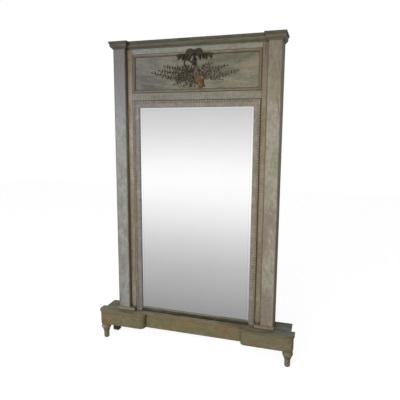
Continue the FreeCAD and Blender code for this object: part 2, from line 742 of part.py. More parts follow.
def make_battens():
    """Two battens between the side boards; the upper one takes the wall screws."""
    y = "%s - batten_thick" % WALL
    width = "2 * %s" % SIDE_INNER
    upper_foot = "(%s - upper_batten_drop - batten_height)" % FRAME_TOP
    lower = board("lower_batten_board", width, "batten_thick", "batten_height",
                  "0 - %s" % SIDE_INNER, y, "%s + lower_batten_gap" % FRAME_FOOT)
    keep(lower, "lower_batten")
    upper = new_body("upper_batten_body")
    pad(upper, "upper_batten_board", "XY_Plane",
        [rectangle("0", "0", "(%s)" % width, "batten_thick")], "batten_height")
    recesses = []
    for side in (-1, 1):
        middle = "(%s + %d * wall_hole_spacing / 2)" % (SIDE_INNER, side)
        recesses.append(rectangle(middle + " - wall_plate_width / 2 - fit_gap",
                                  "(batten_height - wall_plate_height) / 2 - fit_gap",
                                  middle + " + wall_plate_width / 2 + fit_gap",
                                  "(batten_height + wall_plate_height) / 2 + fit_gap"))
    pocket(upper, "wall_plate_recesses", "XZ_Plane", recesses, "wall_plate_thick",
           "0 - (batten_thick - wall_plate_thick)")
    holes = pocket(upper, "wall_screw_holes", "XZ_Plane", [], "batten_thick")
    for side in (-1, 1):
        across = "%s + %d * wall_hole_spacing / 2" % (SIDE_INNER, side)
        round_hole(holes.Profile[0], across, "batten_height / 2", "wall_hole_diameter")
    put(upper, "0 - %s" % SIDE_INNER, y, upper_foot)
    keep(upper, "upper_batten")

    plates = []
    for name, side in (("near", -1), ("far", 1)):
        plate = board("wall_plate_" + name, "wall_plate_width", "wall_plate_thick",
                      "wall_plate_height", "%d * wall_hole_spacing / 2 - wall_plate_width / 2" % side,
                      "%s - wall_plate_thick" % WALL,
                      "%s + (batten_height - wall_plate_height) / 2" % upper_foot)
        hole = doc.addObject("Part::Cylinder", "wall_plate_hole_" + name)
        hole.Placement.Rotation = FreeCAD.Rotation(FreeCAD.Vector(1, 0, 0), -90)
        bind(hole, Radius="wall_hole_diameter / 2", Height="2 * wall_plate_thick")
        put(hole, "%d * wall_hole_spacing / 2" % side, "%s - 1.5 * wall_plate_thick" % WALL,
            "%s + batten_height / 2" % upper_foot)
        cut = doc.addObject("Part::Cut", "drilled_plate_" + name)
        cut.Base = plate
        cut.Tool = hole
        plates.append(cut)
    group = doc.addObject("Part::Compound", "wall_plate_group")
    group.Links = plates
    keep(group, "wall_plates")


def round_hole(sketch, across, along, diameter):
    """A circle whose centre and diameter follow the sheet."""
    centre = FreeCAD.Vector(amount(across), amount(along), 0)
    circle = Part.Circle(centre, FreeCAD.Vector(0, 0, 1), amount(diameter) / 2)
    edge = sketch.addGeometry(circle, False)
    hold(sketch, edge, 3, across, along)
    tie(sketch, "bore%d" % edge, Sketcher.Constraint("Diameter", edge, amount(diameter)), diameter)


# ---------------------------------------------------------------- base

RAIL_FOOT = "foot_height"
BOARD_FOOT = "(foot_height + base_rail_height)"


def round_corners(body, name, spots, radius):
    doc.recompute()
    before = body.Tip
    fillet = body.newObject("PartDesign::Fillet", name)
    fillet.Base = (before, upright_edges(before.Shape, spots))
    bind(fillet, Radius=radius)
    body.Tip = fillet
    doc.recompute()


def make_front_block():
    """Right end section: a thick rail with rounded corners, bored for the foot's spigot."""
    body = new_body("front_block_body")
    length = "(%s - centre_width / 2)" % BLOCK_END
    pad(body, "front_block", "XY_Plane",
        [rectangle("0", "0", length, "block_depth")], "base_rail_height")
    bore = pocket(body, "spigot_bore", "XY_Plane", [], "spigot_length + fit_gap")
    round_hole(bore.Profile[0], "%s - foot_end_inset" % length, "foot_face_inset",
               "spigot_diameter + 2 * fit_gap")
    round_corners(body, "block_inner_corner", [(0, 0)], "block_inner_radius")
    round_corners(body, "block_outer_corner", [(amount(length), 0)], "block_outer_radius")
    put(body, "centre_width / 2", BLOCK_FACE, RAIL_FOOT)
    both_sides(body, "front_block")


def make_base_rails():
    keep(board("centre_rail_board", "centre_width", "base_rail_thick", "base_rail_height",
               "0 - centre_width / 2", CENTRE_FACE, RAIL_FOOT), "base_centre_rail")
    side_depth = "(%s - %s)" % (WALL, BLOCK_BACK)
    both_sides(board("side_rail_board", "base_rail_thick", side_depth, "base_rail_height",
                     "%s - base_rail_thick" % SIDE_RAIL_FACE, BLOCK_BACK, RAIL_FOOT),
               "base_side_rail")
    inside = "(%s - base_rail_thick)" % SIDE_RAIL_FACE
    keep(board("back_rail_board", "2 * " + inside, "base_rail_thick", "base_rail_height",
               "0 - " + inside, "%s - base_rail_thick" % WALL, RAIL_FOOT), "base_back_rail")
    both_sides(board("bearer_board", "bearer_width", side_depth + " - base_rail_thick",
                     "bearer_height", PILASTER_INNER, BLOCK_BACK,
                     "%s - bearer_height" % BOARD_FOOT), "base_bearer")


def make_glue_blocks():
    """Three-cornered blocks in the two right-hand corners of the base."""
    body = new_body("glue_block_body")
    depth = "(%s - base_rail_thick - %s)" % (WALL, BLOCK_BACK)
    leg = "glue_block_size"
    front = [("0", "0"), (leg, "0"), (leg, leg)]
    back = [(leg, depth), ("0", depth), (leg, "%s - %s" % (depth, leg))]
    pad(body, "glue_blocks", "XY_Plane", [front, back], "base_rail_height")
    put(body, "%s - base_rail_thick - %s" % (SIDE_RAIL_FACE, leg), BLOCK_BACK, RAIL_FOOT)
    both_sides(body, "glue_blocks")


def make_base_board():
    """Top board of the base, with the same breaks and rounded corners and a lip all round."""
    body = new_body("base_board_body")
    inner = "(%s - centre_width / 2 + base_lip)" % HALF_BASE
    width = "(2 * %s)" % HALF_BASE
    far_inner = "(%s - %s)" % (width, inner)
    shoulder = "(block_depth + 2 * base_lip)"
    outline = [("0", "0"), (inner, "0"), (inner, "breakfront"), (far_inner, "breakfront"),
               (far_inner, "0"), (width, "0"), (width, shoulder),
               (width + " - side_step", shoulder), (width + " - side_step", "base_depth"),
               ("side_step", "base_depth"), ("side_step", shoulder), ("0", shoulder)]
    pad(body, "base_board", "XY_Plane", [outline], "base_board_thick")
    round_corners(body, "board_inner_corners", [(amount(inner), 0), (amount(far_inner), 0)],
                  "block_inner_radius + base_lip")
    round_corners(body, "board_outer_corners", [(0, 0), (amount(width), 0)],
                  "block_outer_radius + base_lip")
    put(body, "0 - %s" % HALF_BASE, LIP_FRONT, BOARD_FOOT)
    keep(body, "base_top_board")


BULB_STEPS = 6


def make_front_feet():
    """Two turned feet: shaft, ring, collar, bulb and a spigot that enters the block."""
    body = new_body("front_foot_body")
    bulb_top = "(foot_height - foot_neck_height)"
    bulb_foot = "(%s - foot_bulb_height)" % bulb_top
    ring_top = "(%s - foot_collar_height)" % bulb_foot
    ring_foot = "(%s - foot_ring_height)" % ring_top
    ring_side = "foot_ring_diameter / 2 - foot_ring_bevel"
    toe = "foot_shaft_low_diameter / 2"
    spigot_side = "spigot_diameter / 2"
    spigot_top = "foot_height + spigot_length"
    bulb = []
    for k in range(BULB_STEPS + 1):
        share = k / BULB_STEPS
        side = "foot_bulb_diameter / 2 + foot_bulb_belly * %.4f" % math.sin(math.pi * share)
        bulb.append((side, "%s + foot_bulb_height * %g" % (bulb_foot, share)))
    profile = sketch_on(body, "foot_profile", "XZ_Plane", [[
        ("0", "0"),
        (toe + " - foot_toe_bevel", "0"),
        (toe, "foot_toe_bevel"),
        ("foot_shaft_top_diameter / 2", ring_foot),
        (ring_side, ring_foot),
        ("foot_ring_diameter / 2", ring_foot + " + foot_ring_height / 2"),
        (ring_side, ring_top),
        *bulb,
        ("foot_bulb_diameter / 2 - foot_neck_flare", "foot_height"),
        (spigot_side, "foot_height"),
        (spigot_side, spigot_top),
        ("0", spigot_top),
    ]])
    turned = body.newObject("PartDesign::Revolution", "foot_turning")
    turned.Profile = profile
    turned.ReferenceAxis = (profile, ["V_Axis"])
    turned.Angle = 360
    put(body, "%s - foot_end_inset" % BLOCK_END, "%s + foot_face_inset" % BLOCK_FACE)
    twin = doc.addObject("Part::Mirroring", "front_foot_twin")
    twin.Source = body
    twin.Normal = FreeCAD.Vector(1, 0, 0)
    pair = doc.addObject("Part::Compound", "front_foot_pair")
    pair.Links = [body, twin]
    keep(pair, "front_feet")


def make_rear_foot():
    item = board("rear_foot_block", "rear_foot_width", "rear_foot_width", "foot_height",
                 "%s - rear_foot_width" % SIDE_RAIL_FACE, "%s - rear_foot_width" % WALL, "0")
    both_sides(item, "rear_foot")


# ---------------------------------------------------------------- carved ornament

def spot(across, up, forward=0.0):
    """A place on the frieze: from its middle, up from its foot, and out from the panel."""
    return FreeCAD.Vector(across, amount(PANEL_FACE) - forward, amount(FRIEZE_FOOT) + up)


def facet(points):
    return Part.Face(Part.makePolygon(points + points[:1]))


def skin(rings, flat=True):
    """A solid between rings of points; sides that aren't flat are each made of two triangles."""
    faces = [facet(rings[0]), facet(rings[-1])]
    for low, high in zip(rings[:-1], rings[1:]):
        for k in range(len(low)):
            after = (k + 1) % len(low)
            if flat:
                faces.append(facet([low[k], low[after], high[after], high[k]]))
            else:
                faces.append(facet([low[k], low[after], high[after]]))
                faces.append(facet([low[k], high[after], high[k]]))
    solid = Part.makeSolid(Part.makeShell(faces))
    if solid.Volume < 0:
        solid.reverse()
    return solid


def ring_of(centre, radius_across, radius_up, count, forward, scallop=1.0):
    """A level ring of points round a place; every second one is drawn in by the scallop."""
    points = []
    for k in range(count):
        turn = 2 * math.pi * k / count
        pull = scallop if k % 2 else 1.0
        points.append(spot(centre[0] + radius_across * pull * math.cos(turn),
                           centre[1] + radius_up * pull * math.sin(turn), forward))
    return points


def carved(label, shape):
    item = doc.addObject("Part::Feature", label)
    item.Shape = shape
    item.Placement = FreeCAD.Placement()
    return keep(item, label)


def mouth_middle():
    return size("basket_shift"), size("frieze_height") - size("basket_drop")


def basket_spot(across, up, forward):
    """A place measured across and up the basket's leaning axis from the middle of its mouth."""
    lean = math.radians(size("basket_lean"))
    middle = mouth_middle()
    return spot(middle[0] + across * math.cos(lean) - up * math.sin(lean),
                middle[1] + across * math.sin(lean) + up * math.cos(lean), forward)


BASKET_SIDES = 8
BASKET_BELLY = 0.45      # how far down the basket its sides turn in, as a share of its height


def basket_section(drop, half_width):
    """Half-round section of the basket, that far below its mouth."""
    bulge = size("ornament_depth") / (size("basket_mouth_width") / 2)
    return [basket_spot(half_width * math.cos(math.pi * k / BASKET_SIDES), -drop,
                        half_width * bulge * math.sin(math.pi * k / BASKET_SIDES))
            for k in range(BASKET_SIDES + 1)]


def make_basket():
    mouth = size("basket_mouth_width") / 2
    waist = size("basket_waist_width") / 2
    foot = size("basket_foot_width") / 2
    rim = size("basket_rim")
    lean = math.radians(size("basket_lean"))
    room = (mouth_middle()[1] - foot * math.sin(lean) - size("panel_moulding_width")
            - size("basket_foot_clear"))
    height = room / math.cos(lean)
    foot_rim = size("basket_foot_rim")
    neck = mouth - rim / 2
    belly = (neck + waist + rim / 2) / 2
    levels = (
        (0, mouth),
        (rim, mouth),
        (rim + rim / 8, neck),
        (height * BASKET_BELLY, belly),
        (height - 2 * foot_rim, waist),
        (height - foot_rim, foot),
        (height, foot),
    )
    return skin([basket_section(drop, half_width) for drop, half_width in levels])


HANDLE_STEPS = 14
HANDLE_SIDES = 6


def make_handle():
    """Hoop that leans to the left and springs from both ends of the basket's mouth."""
    lean = math.radians(size("handle_lean"))
    tube = size("handle_diameter") / 2
    half = size("basket_mouth_width") / 2 - tube
    middle = mouth_middle()
    centre = (middle[0] + size("handle_shift"), middle[1] + size("handle_lift"))
    line = [basket_spot(half, -tube, tube)]
    for k in range(HANDLE_STEPS + 1):
        turn = math.pi * k / HANDLE_STEPS
        wide = size("handle_half_width") * math.cos(turn)
        tall = size("handle_length") * math.sin(turn)
        line.append(spot(centre[0] + wide * math.cos(lean) - tall * math.sin(lean),
                         centre[1] + wide * math.sin(lean) + tall * math.cos(lean), tube))
    line.append(basket_spot(-half, -tube, tube))
    out = FreeCAD.Vector(0, -tube, 0)
    turns = [2 * math.pi * side / HANDLE_SIDES for side in range(HANDLE_SIDES)]
    rings = []
    for k, place in enumerate(line):
        before, after = line[max(k - 1, 0)], line[min(k + 1, len(line) - 1)]
        aside = (after - before).normalize().cross(out)
        rings.append([place + aside * math.cos(turn) + out * math.sin(turn) for turn in turns])
    return skin(rings, flat=False)


LEAF_BELLY = 0.45        # widest place of a leaf, as a share of its length
LEAF_TURN = 0.7          # radians between a leaf and its stem
LEAF_DROOP = 0.6         # how far the lowest leaf hangs below its stem, as a share of its length


def spray_height():
    """Height that brings the lowest leaf to its clearance above the panel moulding."""
    lowest = -min(tip_up for tips in STEMS.values() for _, tip_up, _ in tips)
    room = (mouth_middle()[1] - size("panel_moulding_width") - size("spray_foot_clear")
            - LEAF_DROOP * size("leaf_length"))
    return room / lowest


PETALS = 5
PETAL_NOTCH = 0.74       # radius between two petals, as a share of the flower's
# Radius and height of each ring of a flower, as shares of its own.
FLOWER_RINGS = ((1, 0), (0.85, 0.6), (0.35, 1))


def flower(across, up, scale):
    """A rosette whose petals rise to a raised eye."""
    middle = mouth_middle()
    reach = size("left_spray_reach") if across < 0 else size("right_spray_reach")
    centre = (middle[0] + across * reach, middle[1] + up * spray_height())
    radius = size("flower_diameter") / 2 * scale
    rise = size("flower_depth") * scale
    return skin([ring_of(centre, radius * share, radius * share, 2 * PETALS, rise * level, PETAL_NOTCH)
                 for share, level in FLOWER_RINGS])


def leaf(root, heading, scale):
    """A four-sided leaf with a ridge, lying on the panel."""
    length = size("leaf_length") * scale
    half = size("leaf_width") / 2 * scale
    ahead = (math.cos(heading), math.sin(heading))
    aside = (-ahead[1], ahead[0])
    belly = (root[0] + ahead[0] * length * LEAF_BELLY, root[1] + ahead[1] * length * LEAF_BELLY)
    base = [spot(*root), spot(belly[0] + aside[0] * half, belly[1] + aside[1] * half),
            spot(root[0] + ahead[0] * length, root[1] + ahead[1] * length),
            spot(belly[0] - aside[0] * half, belly[1] - aside[1] * half)]
    ridge = spot(belly[0], belly[1], size("leaf_depth") * scale)
    sides = [facet([base[k], base[(k + 1) % 4], ridge]) for k in range(4)]
    return Part.makeSolid(Part.makeShell(sides + [facet(base)]))


# Section of a stem that lies on the panel, as shares of its half width.
STEM_EDGE = ((-1, 0), (-0.5, 1.5), (0.5, 1.5), (1, 0))
STEM_THINNING = 0.4      # how much thinner the tip is than the root


def stem_section(place, heading, half):
    aside = (-math.sin(heading), math.cos(heading))
    return [spot(place[0] + aside[0] * across * half, place[1] + aside[1] * across * half, out * half)
            for across, out in STEM_EDGE]


def stem_with_leaves(tip_across, tip_up, bow):
    """A stem that thins from the basket to its tip, with a pair of leaves at each joint."""
    middle = mouth_middle()
    count = max(2, round(math.hypot(tip_across, tip_up) / size("leaf_spacing")))
    line = []
    for k in range(count + 1):
        part = k / count
        line.append((middle[0] + tip_across * part,
                     middle[1] + bow * math.sin(math.pi * part) + tip_up * part))
    pieces = []
    for k in range(1, count):
        heading = math.atan2(line[k + 1][1] - line[k][1], line[k + 1][0] - line[k][0])
        thin = 1 - STEM_THINNING * k / count
        half = size("stem_diameter") / 2 * thin
        pieces.append(skin([stem_section(line[k], heading, half),
                            stem_section(line[k + 1], heading, half)]))
        for turn in (-LEAF_TURN, LEAF_TURN):
            pieces.append(leaf(line[k], heading + turn, thin))
    pieces.append(leaf(line[-1], heading, thin))
    return pieces


def spray(side):
    """All stems of one side, joined into one carving."""
    reach = -size("left_spray_reach") if side == "left" else size("right_spray_reach")
    height = spray_height()
    pieces = []
    for share, tip_up, bow in STEMS[side]:
        pieces += stem_with_leaves(reach * share, height * tip_up, height * bow)
    return pieces[0].fuse(pieces[1:])


RING_STEPS = 16
LOOP_HOLE = 0.4          # opening of a loop, as a share of the loop
# Outline of a tail, as shares of its length and of half the height of a loop.
TAIL_EDGE = ((0, 0.25), (0.27, -0.4), (0.56, -0.3), (1, -0.6), (0.94, -1.2), (0.53, -0.8),
             (0.25, -0.9), (0, -0.35))
CORD_LEAVES = (0.4, 0.7)  # where leaves hang from the cord, as shares of its length
CORD_LEAF_TURN = 0.5     # radians between such a leaf and the cord


def make_bow():
    """Ribbon bow over the top moulding, with two tails and the cord that holds the basket."""
    knot_up = size("frieze_height") - size("bow_drop")
    front = size("panel_moulding_depth")
    out = FreeCAD.Vector(0, -size("ribbon_thick"), 0)
    half_loop = size("bow_loop_width") / 2
    half_height = size("bow_loop_height") / 2
    half_knot = size("bow_knot_size") / 2
    pieces = []
    for side in (-1, 1):
        centre = (side * half_loop, knot_up)
        outer, inner = [facet(ring_of(centre, half_loop * share, half_height * share,
                                      RING_STEPS, front)) for share in (1, LOOP_HOLE)]
        pieces.append(outer.cut(inner).extrude(out))
        tail = [spot(side * size("bow_tail_length") * along, knot_up + half_height * up, front)
                for along, up in TAIL_EDGE]
        pieces.append(facet(tail).extrude(out))
    knot = facet(ring_of((0, knot_up), half_knot, half_knot, RING_STEPS // 2, front))
    pieces.append(knot.extrude(out * 2))
    half_cord = size("cord_width") / 2
    pieces.append(Part.makeBox(2 * half_cord, size("ribbon_thick"), size("cord_length"),
                               spot(-half_cord, knot_up - size("cord_length"), front) + out))
    under = size("cord_length") + size("bow_drop") - size("panel_moulding_width")
    pieces.append(Part.makeBox(2 * half_cord, front, under,
                               spot(-half_cord, knot_up - size("cord_length"), front)))
    for share in CORD_LEAVES:
        for side in (-1, 1):
            root = (side * half_cord / 2, knot_up - share * size("cord_length"))
            pieces.append(leaf(root, side * CORD_LEAF_TURN - math.pi / 2, 1.0))
    return pieces[0].fuse(pieces[1:])


def make_ornament():
    """Carved in six pieces that lie on the panel; each is cut back where another covers it."""
    basket = make_basket()
    handle = make_handle().cut(basket)
    rosettes = [flower(*place) for place in FLOWERS]
    blooms = rosettes[0].fuse(rosettes[1:]).cut(basket).cut(handle)
    bow = make_bow().cut(blooms).cut(handle)
    carved("ornament_basket", basket)
    carved("ornament_handle", handle)
    carved("ornament_bow", bow)
    carved("ornament_flowers", blooms)
    before = [basket, handle, blooms, bow]
    right_spray = spray("right").cut(before)
    left_spray = spray("left").cut(before + [right_spray])
    carved("ornament_right_spray", right_spray)
    carved("ornament_left_spray", left_spray)


# ---------------------------------------------------------------- build, check and write

def check_all():
    """Stop if any object failed, or any cut took nothing away."""
    for item in doc.Objects:
        if "Invalid" in item.State or "Error" in item.State:
            raise RuntimeError("%s did not compute: %s" % (item.Name, item.State))
        if item.TypeId in ("PartDesign::Pocket", "PartDesign::Groove"):
            before = item.BaseFeature.Shape.Volume
            if item.Shape.Volume > before - 1:
                raise RuntimeError("%s cuts nothing" % item.Name)
    for item in NODES:
        if item.Shape.isNull() or not item.Shape.isValid() or not item.Shape.Solids:
            raise RuntimeError("%s has no valid solid" % item.Label)


def main():
    make_stile()
    make_rail("middle_rail", "middle_rail_height", MIDDLE_RAIL_FOOT, True)
    make_rail("top_rail", "top_rail_height", FRIEZE_TOP, False)
    make_bottom_rail()
    make_side_board()
    make_pilaster()
    make_plinth_block()
    make_carved_uprights()
    make_carved_head()
    make_mirror_plate()
    make_back_boards()
    make_glazing_blocks()
    make_frieze_panel()
    make_panel_moulding()
    make_cornice_breaks()
    make_cornice_centre()
    make_cornice_board()
    make_battens()
    make_front_block()
    make_base_rails()
    make_glue_blocks()
    make_base_board()
    make_front_feet()
    make_rear_foot()
    doc.recompute()
    make_ornament()
    doc.recompute()
    check_all()
    os.makedirs("parts", exist_ok=True)
    for item in NODES:
        item.Shape.exportStep("parts/%s.step" % item.Label)


main()
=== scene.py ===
import random
from math import atan2, cos, hypot, pi, radians, sin

import bmesh
import bpy
from mathutils import Matrix, Vector


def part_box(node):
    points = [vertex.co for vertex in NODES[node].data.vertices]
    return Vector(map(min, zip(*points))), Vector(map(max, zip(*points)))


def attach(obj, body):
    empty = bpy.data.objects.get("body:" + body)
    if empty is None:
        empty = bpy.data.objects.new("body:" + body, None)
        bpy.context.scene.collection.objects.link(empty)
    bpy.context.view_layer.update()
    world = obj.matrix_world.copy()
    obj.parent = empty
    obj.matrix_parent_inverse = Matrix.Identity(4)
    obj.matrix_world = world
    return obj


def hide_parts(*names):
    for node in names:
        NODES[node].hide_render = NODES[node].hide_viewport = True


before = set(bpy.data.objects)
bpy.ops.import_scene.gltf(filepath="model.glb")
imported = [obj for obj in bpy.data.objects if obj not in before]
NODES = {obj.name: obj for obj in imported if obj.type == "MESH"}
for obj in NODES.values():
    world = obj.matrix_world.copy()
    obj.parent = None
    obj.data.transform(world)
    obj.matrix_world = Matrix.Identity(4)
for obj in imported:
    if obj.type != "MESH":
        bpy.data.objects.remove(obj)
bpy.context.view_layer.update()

# Looks of the trumeau mirror: aged grey-green paint over pine, a silvered plate, a carved
# basket of flowers, and the studio that it stands in.  Metres, in the frame of the CAD.

MM = 0.001


def box(node):
    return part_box(node)


def new_object(name, data):
    item = bpy.data.objects.new(name, data)
    bpy.context.scene.collection.objects.link(item)
    return item


# ---- camera

CAMERA_PLACE = Vector((0.759, -2.365, 1.347))
CAMERA_YAW = radians(16.97)
CAMERA_PITCH = radians(-8.8)
CAMERA_ROLL = radians(0.38)
FOCAL_PIXELS = 408.4
PICTURE_PIXELS = 400
SENSOR_WIDTH = 36.0


def make_camera():
    """Camera at the photograph's place, turned by yaw, pitch and roll."""
    data = bpy.data.cameras.new("photo_camera")
    data.sensor_width = SENSOR_WIDTH
    data.lens = FOCAL_PIXELS * SENSOR_WIDTH / PICTURE_PIXELS
    camera = new_object("photo_camera", data)
    level = Matrix.Rotation(CAMERA_YAW, 4, "Z") @ Matrix.Rotation(pi / 2, 4, "X")
    tilt = Matrix.Rotation(CAMERA_PITCH, 4, "X")
    roll = Matrix.Rotation(CAMERA_ROLL, 4, "Z")
    camera.matrix_world = Matrix.Translation(CAMERA_PLACE) @ level @ tilt @ roll
    bpy.context.scene.camera = camera


# ---- shader helpers

def tint(red, green, blue):
    """A colour given as 0 to 255 on screen, as the shader's linear values."""
    linear = []
    for part in (red, green, blue):
        part /= 255.0
        linear.append(part / 12.92 if part <= 0.04045 else ((part + 0.055) / 1.055) ** 2.4)
    return (*linear, 1.0)


def new_material(name):
    material = bpy.data.materials.new(name)
    material.use_nodes = True
    tree = material.node_tree
    return material, tree, tree.nodes["Principled BSDF"]


def feed(tree, socket, value):
    if isinstance(value, bpy.types.NodeSocket):
        tree.links.new(value, socket)
    else:
        socket.default_value = value


def set_inputs(tree, node, **inputs):
    """Set or link each input, which has _ for a space in its name."""
    for key, value in inputs.items():
        feed(tree, node.inputs[key.replace("_", " ")], value)


def add(tree, kind, settings=None, **inputs):
    """A node with its settings, and each input set or linked."""
    node = tree.nodes.new(kind)
    for key, value in (settings or {}).items():
        setattr(node, key, value)
    set_inputs(tree, node, **inputs)
    return node


# Sockets of the Mix node: its factor, first and second value, and its result.
MIX_COLOURS, MIXED_COLOUR = (0, 6, 7), 2
MIX_NUMBERS, MIXED_NUMBER = (0, 2, 3), 0


def mix(tree, factor, first, second, blend="MIX"):
    """Blend two colours."""
    node = add(tree, "ShaderNodeMix", {"data_type": "RGBA", "blend_type": blend})
    for index, value in zip(MIX_COLOURS, (factor, first, second)):
        feed(tree, node.inputs[index], value)
    return node.outputs[MIXED_COLOUR]


def math_node(tree, operation, first, second=0.0):
    node = add(tree, "ShaderNodeMath", {"operation": operation})
    feed(tree, node.inputs[0], first)
    feed(tree, node.inputs[1], second)
    return node.outputs[0]


def times(tree, first, second):
    return math_node(tree, "MULTIPLY", first, second)


def between(tree, value, low, high, low_out=0.0, high_out=1.0):
    """The value's way from low to high, as a number from low_out to high_out."""
    node = add(tree, "ShaderNodeMapRange", {"interpolation_type": "SMOOTHSTEP"}, Value=value,
               From_Min=low, From_Max=high, To_Min=low_out, To_Max=high_out)
    return node.outputs[0]


def ramp(tree, value, stops):
    """A colour ramp with the given places and colours."""
    node = add(tree, "ShaderNodeValToRGB", Fac=value)
    elements = node.color_ramp.elements
    while len(elements) < len(stops):
        elements.new(0.5)
    for element, (place, colour) in zip(elements, stops):
        element.position = place
        element.color = colour
    return node.outputs[0]


def place_of(tree, stretch=(1.0, 1.0, 1.0), shift=(0.0, 0.0, 0.0)):
    """Object coordinates, stretched along the grain."""
    where = add(tree, "ShaderNodeTexCoord").outputs["Object"]
    mapping = add(tree, "ShaderNodeMapping", Vector=where, Scale=stretch, Location=shift)
    return mapping.outputs[0]


def coordinate(tree, axis):
    """The object coordinate along X, Y or Z."""
    return add(tree, "ShaderNodeSeparateXYZ", Vector=place_of(tree)).outputs[axis]


def noise(tree, vector, scale, detail=4.0, roughness=0.55, distortion=0.0):
    node = add(tree, "ShaderNodeTexNoise", Vector=vector, Scale=scale, Detail=detail,
               Roughness=roughness, Distortion=distortion)
    return node.outputs[0]


def hollows(tree, distance, low, high):
    """How deep a place lies in a corner or quirk, from the light that reaches it."""
    node = add(tree, "ShaderNodeAmbientOcclusion", {"samples": 8}, Distance=distance)
    return between(tree, node.outputs["AO"], low, high, 1.0, 0.0)


def arrises(tree, radius, low, high):
    """How near a place is to an edge, from how far a rounded edge would turn its normal."""
    rounded = add(tree, "ShaderNodeBevel", {"samples": 4}, Radius=radius).outputs[0]
    flat = add(tree, "ShaderNodeNewGeometry").outputs["Normal"]
    dot = add(tree, "ShaderNodeVectorMath", {"operation": "DOT_PRODUCT"})
    tree.links.new(rounded, dot.inputs[0])
    tree.links.new(flat, dot.inputs[1])
    return between(tree, dot.outputs["Value"], low, high)


def from_opening(tree, half_width, low, high):
    """Distance outside a rectangular opening round the middle, negative inside it."""
    across = math_node(tree, "ABSOLUTE", coordinate(tree, "X"))
    across = math_node(tree, "SUBTRACT", across, half_width)
    up = math_node(tree, "SUBTRACT", coordinate(tree, "Z"), (low + high) / 2)
    up = math_node(tree, "SUBTRACT", math_node(tree, "ABSOLUTE", up), (high - low) / 2)
    return math_node(tree, "MAXIMUM", across, up)


LINE_CORE = 0.4          # share of a line's half width over which it keeps its full strength


def line_at(tree, distance, place, half):
    """1 where the distance is near a place, and 0 from half away from it."""
    off = math_node(tree, "ABSOLUTE", math_node(tree, "SUBTRACT", distance, place))
    return between(tree, off, half * LINE_CORE, half, 1.0, 0.0)


def near(tree, centre, inner, outer):
    """1 close to a point, and 0 from the outer distance on."""
    gap = add(tree, "ShaderNodeVectorMath", {"operation": "DISTANCE"})
    feed(tree, gap.inputs[0], place_of(tree))
    feed(tree, gap.inputs[1], centre)
    return between(tree, gap.outputs["Value"], inner, outer, 1.0, 0.0)


GRAIN = {"Z": (1.0, 1.0, 0.12), "X": (0.12, 1.0, 1.0), "": (1.0, 1.0, 1.0)}


def drift(tree, colour, axis, low, high, low_tone, high_tone):
    """Tone the colour from one place to another along an axis of the object."""
    share = between(tree, coordinate(tree, axis), low, high)
    tone = mix(tree, share, (*low_tone, 1.0), (*high_tone, 1.0))
    return mix(tree, 1.0, colour, tone, "MULTIPLY")


WORN_EDGE = 0.6          # how far the ground colour shows along broken arrises
PAINT_ROUGHNESS = (0.54, 0.74)


def aged_paint(name, tints, ground, dirt_and_shade, grain="Z", patch=5.0, wear=0.5, shift=0.0, drifts=(),
               hollow=14 * MM, marks=()):
    """Old flat paint: patches of its tints, fine mottling, streaks along the grain, dirt and
    painted shade in the hollows, and the ground colour showing where it is rubbed.  Each mark is a
    function that gives where it lies, a strength and a colour."""
    material, tree, surface = new_material(name)
    here = place_of(tree, shift=(shift, shift, shift))
    along = place_of(tree, GRAIN[grain], (shift, 0.0, shift))
    broad = noise(tree, place_of(tree, tuple(0.35 + 0.65 * part for part in GRAIN[grain]),
                                 (shift, shift, 0.0)), patch, 5.0, 0.6, 0.4)
    count = len(tints)
    stops = [(0.36 + 0.28 * k / (count - 1), tint(*tones)) for k, tones in enumerate(tints)]
    colour = ramp(tree, broad, stops)
    mottle = noise(tree, here, 42.0, 6.0, 0.65)
    spots = ramp(tree, mottle, [(0.3, (0.62, 0.62, 0.58, 1.0)), (0.7, (1.36, 1.34, 1.32, 1.0))])
    colour = mix(tree, 0.55, colour, spots, "MULTIPLY")
    streaks = noise(tree, along, 150.0, 3.0, 0.5)
    lines = ramp(tree, streaks, [(0.35, (0.7, 0.68, 0.6, 1.0)), (0.65, (1.2, 1.2, 1.18, 1.0))])
    colour = mix(tree, 0.4, colour, lines, "MULTIPLY")
    rubbed = noise(tree, along, 26.0, 8.0, 0.7)
    bare = between(tree, rubbed, 0.66 - 0.12 * wear, 0.7 - 0.1 * wear)
    colour = mix(tree, times(tree, bare, 0.7), colour, ground)
    edge = arrises(tree, 4 * MM, 0.995, 0.86)
    broken = between(tree, noise(tree, here, 60.0, 5.0, 0.7), 0.62 - 0.3 * wear, 0.66)
    edge = times(tree, edge, broken)
    colour = mix(tree, times(tree, edge, WORN_EDGE), colour, ground)
    # Dirt and painted shade: darker in corners and quirks, where little light reaches.
    hollow_dirt_and_shade = times(tree, hollows(tree, hollow, 0.45, 0.85), 0.9)
    colour = mix(tree, hollow_dirt_and_shade, colour, dirt_and_shade)
    for where, strength, stain in marks:
        colour = mix(tree, times(tree, where(tree), strength), colour, stain)
    for change in drifts:
        colour = drift(tree, colour, *change)
    height = math_node(tree, "ADD", times(tree, streaks, 0.6), times(tree, mottle, 0.5))
    height = math_node(tree, "SUBTRACT", height, times(tree, bare, 0.5))
    bump = add(tree, "ShaderNodeBump", Height=height, Strength=0.35, Distance=0.8 * MM)
    set_inputs(tree, surface, Base_Color=colour, Specular_IOR_Level=0.3, Normal=bump.outputs[0],
               Roughness=between(tree, mottle, 0.3, 0.7, *PAINT_ROUGHNESS))
    return material


